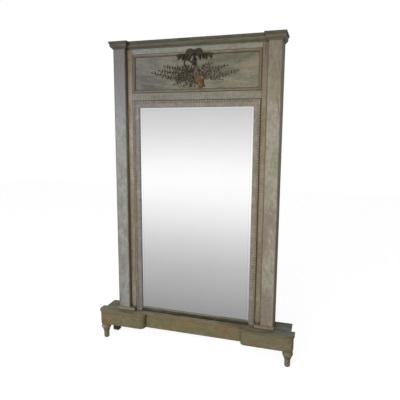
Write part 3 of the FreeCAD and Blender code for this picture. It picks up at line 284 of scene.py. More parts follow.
def bare_pine(name, light, dark, grain="Z", shift=0.0):
    """Unpainted softwood that has gone brown: rings drawn out along the grain, dust, and dirt
    and painted shade in the hollows.
    """
    material, tree, surface = new_material(name)
    drawn_out = {"Z": (9.0, 9.0, 0.6), "X": (0.6, 9.0, 9.0), "Y": (9.0, 0.6, 9.0)}[grain]
    along = place_of(tree, drawn_out, (shift, shift, shift))
    rings = noise(tree, along, 2.2, 3.0, 0.5, 1.6)
    wave = math_node(tree, "SINE", times(tree, rings, 60.0))
    fibres = noise(tree, along, 30.0, 5.0, 0.6)
    colour = mix(tree, between(tree, wave, -0.6, 1.0), light, dark)
    lines = ramp(tree, fibres, [(0.3, (0.65, 0.6, 0.55, 1.0)), (0.7, (1.2, 1.2, 1.2, 1.0))])
    colour = mix(tree, 0.5, colour, lines, "MULTIPLY")
    dust = noise(tree, place_of(tree), 7.0, 6.0, 0.6)
    colour = mix(tree, between(tree, dust, 0.5, 0.75, 0.0, 0.4), colour, tint(112, 104, 92))
    # Dirt and painted shade in the hollows, where little light reaches.
    hollow_dirt_and_shade = hollows(tree, 20 * MM, 0.3, 0.8)
    colour = mix(tree, times(tree, hollow_dirt_and_shade, 0.6), colour, tint(46, 38, 30))
    bump = add(tree, "ShaderNodeBump", Height=fibres, Strength=0.3, Distance=0.8 * MM)
    set_inputs(tree, surface, Base_Color=colour, Roughness=0.8, Specular_IOR_Level=0.2,
               Normal=bump.outputs[0])
    return material


UPRIGHT, HEAD = box("right_carved_upright"), box("carved_head")
BEVEL = 14 * MM          # how far the bevel, painted brighter as a painted reflection, shows inside the opening


def silvered_glass(name):
    """Mirror plate: bright silver with a faint haze where it has aged, and a bevelled rim that
    carries a painted reflection: brighter, with a dark line along its inner edge.
    """
    material, tree, surface = new_material(name)
    haze = noise(tree, place_of(tree), 3.0, 6.0, 0.6)
    colour = ramp(tree, haze, [(0.3, (0.872, 0.87, 0.872, 1.0)),
                               (0.7, (0.894, 0.892, 0.893, 1.0))])
    inside = from_opening(tree, UPRIGHT[0].x, box("bottom_rail")[1].z, HEAD[0].z)
    # Painted reflection: the bevel is painted brighter, with a dark line along its inner edge.
    bevel_reflection = between(tree, inside, -BEVEL - 1 * MM, -BEVEL + 1 * MM)
    colour = mix(tree, bevel_reflection, colour, (0.94, 0.94, 0.94, 1.0))
    colour = mix(tree, times(tree, line_at(tree, inside, -BEVEL, 2 * MM), 0.4),
                 colour, (0.5, 0.5, 0.5, 1.0))
    set_inputs(tree, surface, Base_Color=colour, Metallic=1.0,
               Roughness=between(tree, haze, 0.3, 0.8, 0.012, 0.03))
    return material


def rusty_steel(name):
    material, tree, surface = new_material(name)
    rust = noise(tree, place_of(tree), 70.0, 6.0, 0.65)
    colour = ramp(tree, rust, [(0.35, tint(98, 96, 92)), (0.55, tint(84, 72, 60)),
                               (0.7, tint(92, 58, 36))])
    bump = add(tree, "ShaderNodeBump", Height=rust, Strength=0.3, Distance=0.3 * MM)
    set_inputs(tree, surface, Base_Color=colour, Normal=bump.outputs[0],
               Roughness=between(tree, rust, 0.35, 0.6, 0.35, 0.85),
               Metallic=between(tree, rust, 0.4, 0.6, 0.9, 0.1))
    return material


# ---- paint on the nodes

GROUND = tint(112, 92, 60)
DARK_GROUND = tint(74, 62, 40)
# Dark colours for dirt, also laid on as painted shade in the hollows.
DIRT_AND_SHADE = tint(58, 50, 34)
DARK_DIRT_AND_SHADE = tint(40, 34, 24)
RED_DIRT_AND_SHADE = tint(70, 44, 32)


def dress(material, *names):
    for name in names:
        mesh = NODES[name].data
        mesh.materials.clear()
        mesh.materials.append(material)


def sides(name):
    return "left_" + name, "right_" + name


FRAME_HALF = box("right_side_board")[1].x
# Darker towards the cornice, and turning from grey on the left to ochre on the right.
DARKER_UPWARDS = ("Z", 1.36, 1.86, (1.0, 1.0, 1.0), (0.62, 0.57, 0.56))
WARMTH = ("X", -FRAME_HALF, FRAME_HALF, (0.94, 0.97, 1.06), (1.02, 0.97, 0.88))
PANEL_OPENING = (box("right_panel_moulding")[1].x, box("bottom_panel_moulding")[0].z,
                 box("top_panel_moulding")[1].z)
MOULDING_WIDTH = box("top_panel_moulding")[1].z - box("top_panel_moulding")[0].z


def outer_quirk(tree):
    """Where the panel's moulding meets the stiles and rails."""
    return line_at(tree, from_opening(tree, *PANEL_OPENING), 0.0, 6 * MM)


def inner_quirk(tree):
    """Where the panel's moulding meets the panel."""
    return line_at(tree, from_opening(tree, *PANEL_OPENING), -MOULDING_WIDTH, 5 * MM)


def lower_edge(tree):
    """Along the bottom moulding, where the wash has gathered."""
    return line_at(tree, coordinate(tree, "Z"), PANEL_OPENING[1] + 1 * MM, 6 * MM)


def moulding_ends(tree):
    """On the two upright lengths of the panel moulding."""
    reach = math_node(tree, "ABSOLUTE", coordinate(tree, "X"))
    inner = PANEL_OPENING[0] - MOULDING_WIDTH
    return between(tree, reach, inner, inner + 6 * MM)


MAUVE_RISE = (1.3, 1.6)  # heights between which the mauve comes in


def mauve_head(tree):
    """The upper half of the left pilaster."""
    left = between(tree, coordinate(tree, "X"), 0.0, -0.3)
    return times(tree, left, between(tree, coordinate(tree, "Z"), *MAUVE_RISE))


def olive_arris(tree):
    """Down the outer arris of the left pilaster."""
    return line_at(tree, coordinate(tree, "X"), box("left_pilaster")[0].x, 9 * MM)


def long_edges(inner, outer):
    """Down both edges of an upright, broken where the stain has worn off."""
    def where(tree):
        reach = math_node(tree, "ABSOLUTE", coordinate(tree, "X"))
        off = math_node(tree, "ABSOLUTE", math_node(tree, "SUBTRACT", reach, (inner + outer) / 2))
        line = line_at(tree, off, (outer - inner) / 2, 6 * MM)
        worn = noise(tree, place_of(tree, GRAIN["Z"]), 24.0, 5.0, 0.6)
        return times(tree, line, between(tree, worn, 0.3, 0.6, 0.35, 1.0))
    return where


def top_line(tree):
    """Along the top edge of the cornice."""
    return line_at(tree, coordinate(tree, "Z"), box("cornice_top_board")[1].z, 8 * MM)


EDGE_STAIN = tint(88, 70, 44)
PILASTER_INNER, PILASTER_OUTER = box("right_pilaster")[0].x, box("right_pilaster")[1].x
STILE_INNER = box("right_stile")[0].x
NO_SILL = -1.0           # height of the lower edge of an opening that is open below
CARVED_OPENING = (UPRIGHT[1].x, NO_SILL, HEAD[1].z)


def carved_edge(tree):
    """The quirk round the outside of the carved frame."""
    return line_at(tree, from_opening(tree, *CARVED_OPENING), 0.0, 5 * MM)


def dress_frame():
    upright = aged_paint("upright_paint", [(129, 121, 114), (140, 134, 126), (150, 149, 141),
                                           (132, 136, 118), (146, 138, 118)],
                         GROUND, DIRT_AND_SHADE, "Z", patch=6.5, shift=0.3, drifts=(DARKER_UPWARDS, WARMTH),
                         marks=((mauve_head, 0.5, tint(138, 140, 148)), (olive_arris, 0.5, GROUND),
                                (long_edges(PILASTER_INNER, PILASTER_OUTER), 0.6, EDGE_STAIN)))
    dress(upright, *sides("pilaster"))
    # Painted light and shade: lighter on the left stile, which the pilaster shades, and darker on
    # the lit right stile, with a warmer tone to the right.
    stile_painted_light = ("X", -FRAME_HALF, FRAME_HALF, (1.16, 1.18, 1.22), (0.86, 0.83, 0.76))
    stile = aged_paint("stile_paint", [(126, 114, 90), (142, 134, 114), (148, 140, 124)],
                       GROUND, tint(72, 56, 38), "Z", patch=6.0, shift=1.1, drifts=(DARKER_UPWARDS, stile_painted_light),
                       marks=((long_edges(STILE_INNER, PILASTER_INNER), 0.65, EDGE_STAIN),))
    dress(stile, *sides("stile"))
    # Painted shade: the side boards carry darker tints than the same paint on the front.
    side = aged_paint("side_board_painted_shade", [(92, 88, 74), (82, 78, 64), (100, 96, 82)], GROUND,
                      DIRT_AND_SHADE, "Z", patch=5.0, shift=2.0, drifts=(DARKER_UPWARDS,))
    dress(side, *sides("side_board"))
    rail = aged_paint("rail_paint", [(114, 108, 96), (126, 127, 118), (118, 122, 108)],
                      GROUND, DARK_DIRT_AND_SHADE, "X", patch=6.0, shift=0.7, drifts=(WARMTH,))
    dress(rail, "middle_rail", "top_rail")
    panel = aged_paint("panel_paint", [(82, 84, 72), (104, 103, 94), (116, 113, 102), (98, 93, 74)],
                       GROUND, tint(72, 58, 44), "X", patch=8.0, shift=4.6, wear=0.3,
                       drifts=(("X", -0.3, 0.3, (0.9, 0.89, 0.96), (1.2, 1.12, 0.98)),))
    dress(panel, "frieze_panel")
    border = aged_paint("border_paint", [(112, 105, 93), (120, 115, 102), (108, 102, 86)],
                        GROUND, RED_DIRT_AND_SHADE, "", patch=9.0, shift=5.0, drifts=(WARMTH,), hollow=7 * MM,
                        marks=((moulding_ends, 0.5, tint(92, 78, 58)), (lower_edge, 0.75, RED_DIRT_AND_SHADE),
                               (outer_quirk, 0.75, RED_DIRT_AND_SHADE), (inner_quirk, 0.7, DIRT_AND_SHADE)))
    dress(border, *sides("panel_moulding"), "top_panel_moulding", "bottom_panel_moulding")
    cornice = aged_paint("cornice_paint", [(76, 74, 64), (92, 89, 76), (72, 66, 54)],
                         DARK_GROUND, DARK_DIRT_AND_SHADE, "X", patch=6.0, shift=6.0, drifts=(WARMTH,),
                         marks=((top_line, 0.65, DARK_DIRT_AND_SHADE),))
    dress(cornice, "cornice_centre", "cornice_top_board", *sides("cornice_break"))
    plinth = aged_paint("plinth_paint", [(142, 128, 110), (136, 130, 108), (148, 140, 122)],
                        GROUND, RED_DIRT_AND_SHADE, "X", patch=10.0, shift=7.0,
                        drifts=(("X", -0.5, 0.5, (0.98, 1.04, 1.04), (1.04, 0.92, 0.84)),))
    dress(plinth, *sides("plinth_block"))
    carving = aged_paint("carving_paint", [(132, 127, 120), (122, 120, 112), (142, 137, 130)],
                         GROUND, DIRT_AND_SHADE, "", patch=14.0, shift=8.0, drifts=(WARMTH,), hollow=6 * MM,
                         marks=((carved_edge, 0.8, tint(66, 48, 36)),))
    dress(carving, *sides("carved_upright"), "carved_head")
    stained = aged_paint("stained_rail", [(70, 58, 34), (52, 44, 26), (92, 82, 52)],
                         tint(110, 98, 62), tint(30, 26, 16), "X", patch=16.0, shift=9.0)
    dress(stained, "bottom_rail")
    dress(silvered_glass("silvered_glass"), "mirror_plate")


def front_faces(tree):
    """1 on faces that look to the front."""
    normal = add(tree, "ShaderNodeTexCoord").outputs["Normal"]
    forwards = add(tree, "ShaderNodeSeparateXYZ", Vector=normal).outputs["Y"]
    return between(tree, forwards, -0.3, -0.7)


def dress_base():
    base = aged_paint("base_paint", [(114, 96, 72), (120, 107, 76), (106, 102, 74),
                                     (116, 106, 82), (112, 94, 70)],
                      tint(132, 104, 62), DARK_DIRT_AND_SHADE, "X", patch=6.0, shift=3.3)
    dress(base, "base_centre_rail", *sides("front_block"), *sides("base_side_rail"))
    top = aged_paint("base_top_paint", [(78, 66, 48), (96, 94, 76), (118, 112, 98), (88, 80, 60)],
                     tint(128, 104, 64), DARK_DIRT_AND_SHADE, "X", patch=7.0, shift=4.3,
                     drifts=(("X", 0.15, 0.6, (1.3, 1.32, 1.32), (0.98, 1.1, 1.24)),),
                     marks=((front_faces, 0.6, tint(94, 78, 52)),))
    dress(top, "base_top_board")


def dress_back():
    level_pine = bare_pine("level_pine", tint(150, 122, 84), tint(112, 84, 52), "X", 0.4)
    upright_pine = bare_pine("upright_pine", tint(144, 116, 80), tint(108, 82, 52), "Z", 1.4)
    dress(level_pine, "upper_batten", "lower_batten", "base_back_rail",
          *("back_board_%d" % k for k in (1, 2, 3, 4)))
    dress(upright_pine, "glazing_blocks", *sides("glue_blocks"))
    dress(bare_pine("foot_pine", tint(88, 76, 60), tint(64, 54, 42), "Z", 3.4), *sides("rear_foot"))
    dress(bare_pine("bearer_pine", tint(144, 116, 80), tint(108, 82, 52), "Y", 2.4),
          *sides("base_bearer"))
    dress(rusty_steel("wall_steel"), "wall_plates")


# ---- carved pieces

BAND_DRIFT = ("X", -0.3, 0.36, (1.2, 1.1, 1.18), (1.06, 1.09, 1.04))
LEAFWORK = aged_paint("leafwork_paint", [(146, 124, 116), (128, 112, 102), (142, 132, 118)],
                      GROUND, tint(64, 52, 36), "", patch=12.0, shift=16.0, drifts=(BAND_DRIFT,),
                      hollow=6 * MM)
FOLIAGE = aged_paint("foliage_paint", [(47, 38, 25), (36, 29, 19), (66, 56, 40)],
                     tint(104, 90, 60), DARK_DIRT_AND_SHADE, "", patch=18.0, shift=11.0, hollow=6 * MM,
                     wear=0.4)
SPRIGS = aged_paint("sprig_paint", [(68, 60, 48), (54, 50, 38), (90, 82, 70)],
                    tint(120, 100, 70), DARK_DIRT_AND_SHADE, "", patch=18.0, shift=15.0, hollow=6 * MM)
RIBBON = aged_paint("ribbon_paint", [(45, 35, 24), (35, 27, 18), (60, 48, 34)],
                    tint(104, 86, 56), DARK_DIRT_AND_SHADE, "", patch=18.0, shift=14.0, hollow=6 * MM,
                    wear=0.4)
ROSES = aged_paint("flower_paint", [(128, 112, 110), (110, 102, 95), (96, 86, 80)],
                   GROUND, DARK_DIRT_AND_SHADE, "", patch=12.0, shift=13.0, hollow=6 * MM,
                   drifts=(("X", -0.06, 0.03, (0.42, 0.38, 0.33), (1.0, 1.0, 1.0)),))

PANEL_FACE = box("frieze_panel")[0].y
FRIEZE_FOOT = box("middle_rail")[1].z
FRIEZE_HEIGHT = (box("top_rail")[0].z - FRIEZE_FOOT) / MM
SUNK = -0.3              # how deep the flat backs of the carvings lie in the panel, in mm


def spot(across, up, out):
    """A place on the frieze in millimetres: from its middle, up from its foot, out of the panel."""
    return Vector((across * MM, PANEL_FACE - out * MM, FRIEZE_FOOT + up * MM))


def loft(shape, rings, joined=False):
    """Skin closed rings of points; the ends are capped, or joined to each other."""
    rows = [[shape.verts.new(point) for point in ring] for ring in rings]
    pairs = list(zip(rows[:-1], rows[1:]))
    if joined:
        pairs.append((rows[-1], rows[0]))
    for low, high in pairs:
        for k in range(len(low)):
            after = (k + 1) % len(low)
            shape.faces.new((low[k], low[after], high[after], high[k]))
    if not joined:
        shape.faces.new(rows[0])
        shape.faces.new(rows[-1])


def circle(count):
    """Cosine and sine at equal steps round a circle."""
    return [(cos(2 * pi * k / count), sin(2 * pi * k / count)) for k in range(count)]


def finish_piece(name, shape, material, slot, *replaced):
    """Turn the gathered shape into a piece that rides on the body."""
    bmesh.ops.recalc_face_normals(shape, faces=shape.faces)
    mesh = bpy.data.meshes.new(name)
    shape.to_mesh(mesh)
    shape.free()
    mesh.materials.append(material)
    for face in mesh.polygons:
        face.use_smooth = True
    piece = new_object(name, mesh)
    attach(piece, "root")
    if replaced:
        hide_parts(*replaced)


LEAF_STEPS = 10
LEAF_SPANS = (-1.0, -0.8, -0.45, -0.16, 0.0, 0.16, 0.45, 0.8, 1.0)
LEAF_LOBES = 3


def blade(along, across):
    """Half width and height of a leaf, as shares, at a place along it and across it."""
    lobes = abs(sin(pi * LEAF_LOBES * along))
    half = sin(pi * along ** 0.75) * (0.8 + 0.2 * lobes)
    bulge = sin(pi * (0.24 + 0.76 * abs(across)))
    return half, bulge * (0.55 + 0.45 * sin(pi * along ** 0.7)) * (0.86 + 0.14 * lobes)


def add_leaf(shape, root, heading, length, width, height, base=0.0, lift=0.0):
    """A leaf with a sunk midrib and lobed sides, its flat back on the panel."""
    ahead = (cos(heading), sin(heading))
    rings = []
    for k in range(LEAF_STEPS + 1):
        along = 0.02 + 0.96 * k / LEAF_STEPS
        ring = []
        for across in LEAF_SPANS:
            half, rise = blade(along, across)
            aside = half * width / 2 * across
            x = root[0] + ahead[0] * length * along - ahead[1] * aside
            z = root[1] + ahead[1] * length * along + ahead[0] * aside
            edge = abs(across) == 1.0
            out = SUNK if edge else base + height * rise + lift * along * along
            ring.append(spot(x, z, out))
        rings.append(ring)
    loft(shape, rings)


# Layout of the ornament in millimetres: that of the solids it replaces, with more stems.
MOUTH_DROP = 137.0       # from the top rail down to the middle of the basket's mouth
MOUTH = (25.0, FRIEZE_HEIGHT - MOUTH_DROP)
LEFT_REACH, RIGHT_REACH = 288.0, 228.0
SPRAY_HEIGHT = 59.0
# Tip of each stem as shares of the reach and of the spray's height, and the share that it bows up.
STEMS = {
    "left": ((1.0, 0.42, -0.3), (0.72, 1.0, 0.1), (0.66, -0.15, -0.2), (0.5, -0.7, 0.1),
             (0.3, -0.85, 0.15), (0.16, -0.7, 0.1), (0.84, 0.62, 0.0), (0.6, 0.4, 0.1),
             (0.5, 0.85, 0.25), (0.46, -0.35, 0.0), (0.38, 0.2, 0.3), (0.3, 0.95, 0.3),
             (0.2, 0.5, 0.35), (0.08, -0.85, -0.05)),
    "right": ((1.0, 0.32, -0.3), (0.72, 0.85, 0.1), (0.6, -0.42, 0.1), (0.32, 1.1, 0.2),
              (0.5, 0.45, 0.1), (0.16, 1.0, 0.1)),
}
# Centre of each flower as shares in the same way, and its size.
FLOWERS = (
    (-0.05, 0.2, 1.2), (0.11, 0.3, 1.15), (-0.17, 0.05, 1.1), (-0.13, -0.5, 1.0),
    (-0.26, 0.42, 0.95), (-0.32, -0.2, 0.9), (-0.43, 0.14, 0.8), (-0.17, -0.9, 0.75),
    (-0.03, 0.75, 0.9), (0.24, 0.72, 1.0), (0.28, 0.08, 1.1), (0.42, 0.42, 1.05),
    (0.41, -0.3, 0.75), (0.57, 0.12, 0.85), (0.74, 0.26, 0.65),
)
LEAF_LENGTH, LEAF_WIDTH, LEAF_HEIGHT = 27.0, 13.0, 5.0
LEAF_SPACING = 17.0
LEAF_TURN = 1.0
LEAF_SWING = 0.3         # how far a leaf may stray from its turn
TIP_SHARE = 0.6          # size of the leaf at a stem's tip
STEM_WIDTH = 4.0
STEM_TAPER = 0.4
STEM_TURNS = (0.0, 0.63, 1.26, 1.88, 2.51, pi)


def stem_line(tip_across, tip_up, bow, count):
    return [(MOUTH[0] + tip_across * k / count,
             MOUTH[1] + bow * sin(pi * k / count) + tip_up * k / count)
            for k in range(count + 1)]


def neighbours(line, k):
    """The points before and after a point of a line; an end counts as its own neighbour."""
    return line[max(k - 1, 0)], line[min(k + 1, len(line) - 1)]


def add_stem(shape, tip_across, tip_up, bow, chance):
    """A tapering stem with leaves on both sides, smaller towards the tip."""
    count = max(3, round(hypot(tip_across, tip_up) / LEAF_SPACING))
    line = stem_line(tip_across, tip_up, bow, count)
    rings = []
    for k, place in enumerate(line):
        before, after = neighbours(line, k)
        heading = atan2(after[1] - before[1], after[0] - before[0])
        thin = 1 - STEM_TAPER * k / count
        half = STEM_WIDTH / 2 * thin
        rings.append([spot(place[0] - sin(heading) * half * cos(turn),
                           place[1] + cos(heading) * half * cos(turn),
                           SUNK + 1.6 * half * sin(turn))
                      for turn in STEM_TURNS])
        if 0 < k < count:
            side = 1 if k % 2 else -1
            for turn, share in ((side * LEAF_TURN, 1.0), (-side * LEAF_TURN * 0.9, 0.8)):
                swing = chance.uniform(-LEAF_SWING, LEAF_SWING)
                scale = thin * share * chance.uniform(0.85, 1.0)
                add_leaf(shape, place, heading + turn + swing, LEAF_LENGTH * scale,
                         LEAF_WIDTH * scale, LEAF_HEIGHT * scale, lift=chance.uniform(0.0, 2.0))
    loft(shape, rings)
    add_leaf(shape, line[-1], heading, LEAF_LENGTH * TIP_SHARE, LEAF_WIDTH * TIP_SHARE,
             LEAF_HEIGHT * TIP_SHARE)


def make_sprays():
    chance = random.Random(7)
    for side, reach, material in (("left", -LEFT_REACH, FOLIAGE), ("right", RIGHT_REACH, SPRIGS)):
        shape = bmesh.new()
        for share, tip_up, bow in STEMS[side]:
            add_stem(shape, reach * share, SPRAY_HEIGHT * tip_up, SPRAY_HEIGHT * bow, chance)
        finish_piece("carved_spray_" + side, shape, material, "dark_relief",
                     "ornament_%s_spray" % side)


PETALS = 5
PETAL_STEPS = 50
FLOWER_RADIUS, FLOWER_RISE = 15.5, 12.0
# Rings of one tier of petals: share of its radius, and of its height or None where it is sunk.
TIER = ((1.0, None), (1.0, 0.1), (0.93, 0.62), (0.76, 0.95), (0.55, 0.8), (0.34, 0.34), (0.2, 0.2))
EYE = ((1.0, None), (1.0, 0.2), (0.85, 0.7), (0.5, 1.0), (0.2, 0.8))


def add_tier(shape, centre, radius, top, turn, notch, rings_of):
    """One ring of petals, or a plain button where the notch is 0."""
    rings = []
    for share, rise in rings_of:
        ring = []
        for k in range(PETAL_STEPS):
            angle = 2 * pi * k / PETAL_STEPS
            petal = abs(cos(PETALS * (angle - turn) / 2)) ** 0.5
            reach = radius * share * (1 - notch * share * (1 - petal))
            crease = 1 - 0.9 * notch * (1 - petal)
            out = SUNK if rise is None else top * rise * crease
            ring.append(spot(centre[0] + reach * cos(angle), centre[1] + reach * sin(angle), out))
        rings.append(ring)
    loft(shape, rings)


def make_flowers():
    chance = random.Random(11)
    shape = bmesh.new()
    for across, up, scale in FLOWERS:
        reach = LEFT_REACH if across < 0 else RIGHT_REACH
        centre = (MOUTH[0] + across * reach, MOUTH[1] + up * SPRAY_HEIGHT)
        radius, rise = FLOWER_RADIUS * scale, FLOWER_RISE * scale
        turn = chance.uniform(0.0, 1.2)
        add_tier(shape, centre, radius, rise * 0.6, turn, 0.32, TIER)
        add_tier(shape, centre, radius * 0.66, rise * 0.9, turn + pi / PETALS, 0.3, TIER)
        add_tier(shape, centre, radius * 0.26, rise, 0.0, 0.0, EYE)
    finish_piece("carved_flowers", shape, ROSES, "rose_relief", "ornament_flowers")


BASKET_LEAN = radians(18.0)
BASKET_HEIGHT = 67.8
BASKET_STEPS = 96
BASKET_SPANS = 48
# Outline of the basket: how far down it as a share of its height, and its half width.
BASKET_OUTLINE = ((0.0, 33.0), (0.02, 34.0), (0.1, 34.0), (0.125, 31.0), (0.45, 25.5), (0.7, 19.5),
                  (0.83, 18.0), (0.9, 19.5), (0.93, 21.0), (0.99, 21.0), (1.0, 20.0))
BASKET_HALF, BASKET_DEPTH = 34.0, 14.0
WEAVE_ROOM = 1.0         # left for the relief of the weave
WOVEN = (0.115, 0.91)    # shares of the height between which it is woven, inside the roped rims
STRAND = 5.2             # millimetres from one woven strand to the next
STAKES = 9
# Middle of the painted highlight on the basket: across, up and out, in millimetres.
LILAC_HIGHLIGHT_PLACE = (23.0, -20.0, 10.0)


def basket_spot(across, up, out):
    return spot(MOUTH[0] + across * cos(BASKET_LEAN) - up * sin(BASKET_LEAN),
                MOUTH[1] + across * sin(BASKET_LEAN) + up * cos(BASKET_LEAN), out)


def outline_at(outline, share):
    """Straight interpolation between the outline's points."""
    for (low, first), (high, second) in zip(outline[:-1], outline[1:]):
        if share <= high:
            return first + (second - first) * (share - low) / (high - low)
    return outline[-1][1]


def weave(down, angle):
    """Relief of the wicker: strands that pass before and behind the stakes, and roped rims."""
    if down < WOVEN[0] * BASKET_HEIGHT or down > WOVEN[1] * BASKET_HEIGHT:
        return 0.9 * abs(sin(9.0 * angle + 0.45 * down))
    row = int(down / STRAND)
    strand = sin(pi * (down / STRAND - row)) ** 0.7
    over = 0.5 + 0.5 * cos(STAKES * angle + pi * row)
    return strand * (0.5 + 1.3 * over)


def lilac_highlight(tree):
    """Painted highlight: a pale pinkish patch at the basket's upper right."""
    return near(tree, tuple(basket_spot(*LILAC_HIGHLIGHT_PLACE)), 5 * MM, 14 * MM)


def make_basket():
    wicker = aged_paint("basket_paint", [(98, 82, 47), (78, 65, 40), (112, 96, 62)],
                        tint(80, 58, 38), DARK_DIRT_AND_SHADE, "", patch=20.0, shift=12.0, hollow=5 * MM,
                        # Painted highlight: a pale pinkish patch at the upper right.
                        marks=((lilac_highlight, 0.7, tint(160, 138, 140)),),
                        # Painted shade: darker towards the basket's right side, away from the
                        # light, with a red-brown tone.
                        drifts=(("X", 0.02, 0.062, (1.0, 1.0, 1.0), (0.62, 0.42, 0.4)),))
    shape = bmesh.new()
    rings = []
    for k in range(BASKET_STEPS + 1):
        share = k / BASKET_STEPS
        down = share * BASKET_HEIGHT
        half = outline_at(BASKET_OUTLINE, share) - WEAVE_ROOM
        ring = []
        for span in range(BASKET_SPANS + 1):
            angle = pi * span / BASKET_SPANS
            edge = span in (0, BASKET_SPANS)
            relief = 0.0 if edge else weave(down, angle)
            reach = half + relief
            out = SUNK if edge else reach * sin(angle) * BASKET_DEPTH / BASKET_HALF
            ring.append(basket_spot(reach * cos(angle), -down, out))
        rings.append(ring)
    loft(shape, rings)
    finish_piece("wicker_basket", shape, wicker, "ochre_relief", "ornament_basket")


HANDLE_STEPS = 90
HANDLE_SIDES = 12
HANDLE_TUBE = 3.5
HANDLE_LEAN = radians(38.0)
HANDLE_HALF, HANDLE_RISE = 30.0, 95.0
HANDLE_END = (30.5, -3.5)         # from the middle of the mouth, along it and up
HANDLE_SHIFT = (-25.0, 16.0)      # middle of the hoop's foot from that of the mouth
HANDLE_STRANDS = 3
HANDLE_TWIST = 0.5                # radians to the millimetre


def make_handle():
    """Twisted hoop that leans to the left and springs from both ends of the basket's mouth."""
    lean, tube = HANDLE_LEAN, HANDLE_TUBE
    centre = (MOUTH[0] + HANDLE_SHIFT[0], MOUTH[1] + HANDLE_SHIFT[1])
    line = [basket_spot(HANDLE_END[0], HANDLE_END[1], tube)]
    for k in range(HANDLE_STEPS + 1):
        turn = pi * k / HANDLE_STEPS
        wide, tall = HANDLE_HALF * cos(turn), HANDLE_RISE * sin(turn)
        line.append(spot(centre[0] + wide * cos(lean) - tall * sin(lean),
                         centre[1] + wide * sin(lean) + tall * cos(lean), tube))
    line.append(basket_spot(-HANDLE_END[0], HANDLE_END[1], tube))
    out = Vector((0.0, -1.0, 0.0))
    rings = []
    travelled = 0.0
    for k, place in enumerate(line):
        before, after = neighbours(line, k)
        aside = (after - before).normalized().cross(out)
        travelled += (place - before).length / MM
        ring = []
        for side in range(HANDLE_SIDES):
            turn = 2 * pi * side / HANDLE_SIDES
            strand = cos(HANDLE_STRANDS * turn + HANDLE_TWIST * travelled)
            radius = tube * MM * (0.86 + 0.16 * strand)
            ring.append(place + (aside * cos(turn) + out * sin(turn)) * radius)
        rings.append(ring)
    shape = bmesh.new()
    loft(shape, rings)
    finish_piece("twisted_handle", shape, RIBBON, "dark_relief", "ornament_handle")


KNOT_DROP = 4.0          # from the top rail down to the middle of the knot
KNOT_UP = FRIEZE_HEIGHT - KNOT_DROP
KNOT_RADIUS = 11.0
KNOT_SIDES = 24
# Rings of the knot: share of its radius, and how far out of the panel.
KNOT_RINGS = ((1.0, 10.0), (1.0, 13.0), (0.85, 18.0), (0.55, 20.0), (0.2, 19.0))
BOW_FRONT = 10.0         # the ribbon lies on the panel moulding
RIBBON_THICK = 5.0
LOOP_HALF = 26.0
LOOP_HALF_HEIGHT = 20.0
LOOP_HOLE = 0.14
LOOP_STEPS = 56
RIBBON_SPANS = (0.0, 0.12, 0.3, 0.5, 0.7, 0.88, 1.0)
TAIL_LENGTH = 110.0
# Upper and lower edge of a tail: share of its length, and height in half loops.
TAIL_UPPER = ((0.0, 0.25), (0.27, -0.4), (0.56, -0.3), (1.0, -0.6))
TAIL_LOWER = ((0.0, -0.35), (0.27, -0.9), (0.53, -0.8), (0.94, -1.2))
TAIL_STEPS = 30
CORD_LENGTH = 72.0
CORD_STEPS = 40
CORD_TURNS = 2.5
CORD_NARROW, CORD_SWELL = 2.4, 1.6
CORD_LEAVES = (0.4, 0.7)          # shares of the way down the cord
# Leaves that hang below the tails: how far out, and which way they turn.
HANGING_LEAVES = ((26.0, 0.3), (44.0, 0.5), (66.0, 0.25), (86.0, 0.6))
HANGING_DROP = 12.0
HANGING_LENGTH, HANGING_WIDTH, HANGING_HEIGHT = 34.0, 15.0, 4.0


def add_loop(shape, side):
    """One loop of the bow, gathered into folds towards the knot."""
    centre = (side * LOOP_HALF, KNOT_UP)
    rings = []
    for k in range(LOOP_STEPS):
        turn = 2 * pi * k / LOOP_STEPS
        gather = 0.5 + 0.5 * cos(turn if side < 0 else pi - turn)
        ring = []
        for span in RIBBON_SPANS:
            share = 1.0 - (1.0 - LOOP_HOLE) * span
            fold = 0.5 + 0.5 * cos(2 * pi * (1.5 + gather) * span + 2.0 * turn)
            edge = span in (0.0, 1.0)
            out = BOW_FRONT + (0.0 if edge else RIBBON_THICK * (0.45 + 0.55 * fold))
            ring.append(spot(centre[0] + LOOP_HALF * share * cos(turn),
                             centre[1] + LOOP_HALF_HEIGHT * share * sin(turn), out))
        rings.append(ring)
    loft(shape, rings, joined=True)


def add_tail(shape, side):
    """A waved tail of ribbon that runs out along the moulding."""
    rings = []
    for k in range(TAIL_STEPS + 1):
        share = k / TAIL_STEPS
        upper = outline_at(TAIL_UPPER, share)
        lower = outline_at(TAIL_LOWER, share * 0.94)
        wave = 0.12 * sin(2 * pi * 1.5 * share)
        ring = []
        for span in RIBBON_SPANS:
            up = upper + (lower - upper) * span + wave * sin(pi * span)
            length = TAIL_LENGTH * share * (1.0 - 0.06 * span)
            fold = 0.5 + 0.5 * sin(2 * pi * (1.4 * share + span))
            edge = span in (0.0, 1.0)
            out = BOW_FRONT + (0.0 if edge else RIBBON_THICK * (0.35 + 0.65 * fold))
            ring.append(spot(side * length, KNOT_UP + LOOP_HALF_HEIGHT * up, out))
        rings.append(ring)
    loft(shape, rings)


def add_cord(shape):
    """The ribbon that the basket hangs from, twisted, with its block down to the panel."""
    rings = []
    for k in range(CORD_STEPS + 1):
        up = KNOT_UP - CORD_LENGTH * k / CORD_STEPS
        twist = cos(2 * pi * CORD_TURNS * k / CORD_STEPS)
        half = CORD_NARROW + CORD_SWELL * abs(twist)
        rings.append([spot(across * half, up, out) for across, out in
                      ((-1.0, SUNK), (-1.0, 11.0), (-0.6, 13.5 + twist), (0.0, 14.2),
                       (0.6, 13.5 - twist), (1.0, 11.0), (1.0, SUNK))])
    loft(shape, rings)


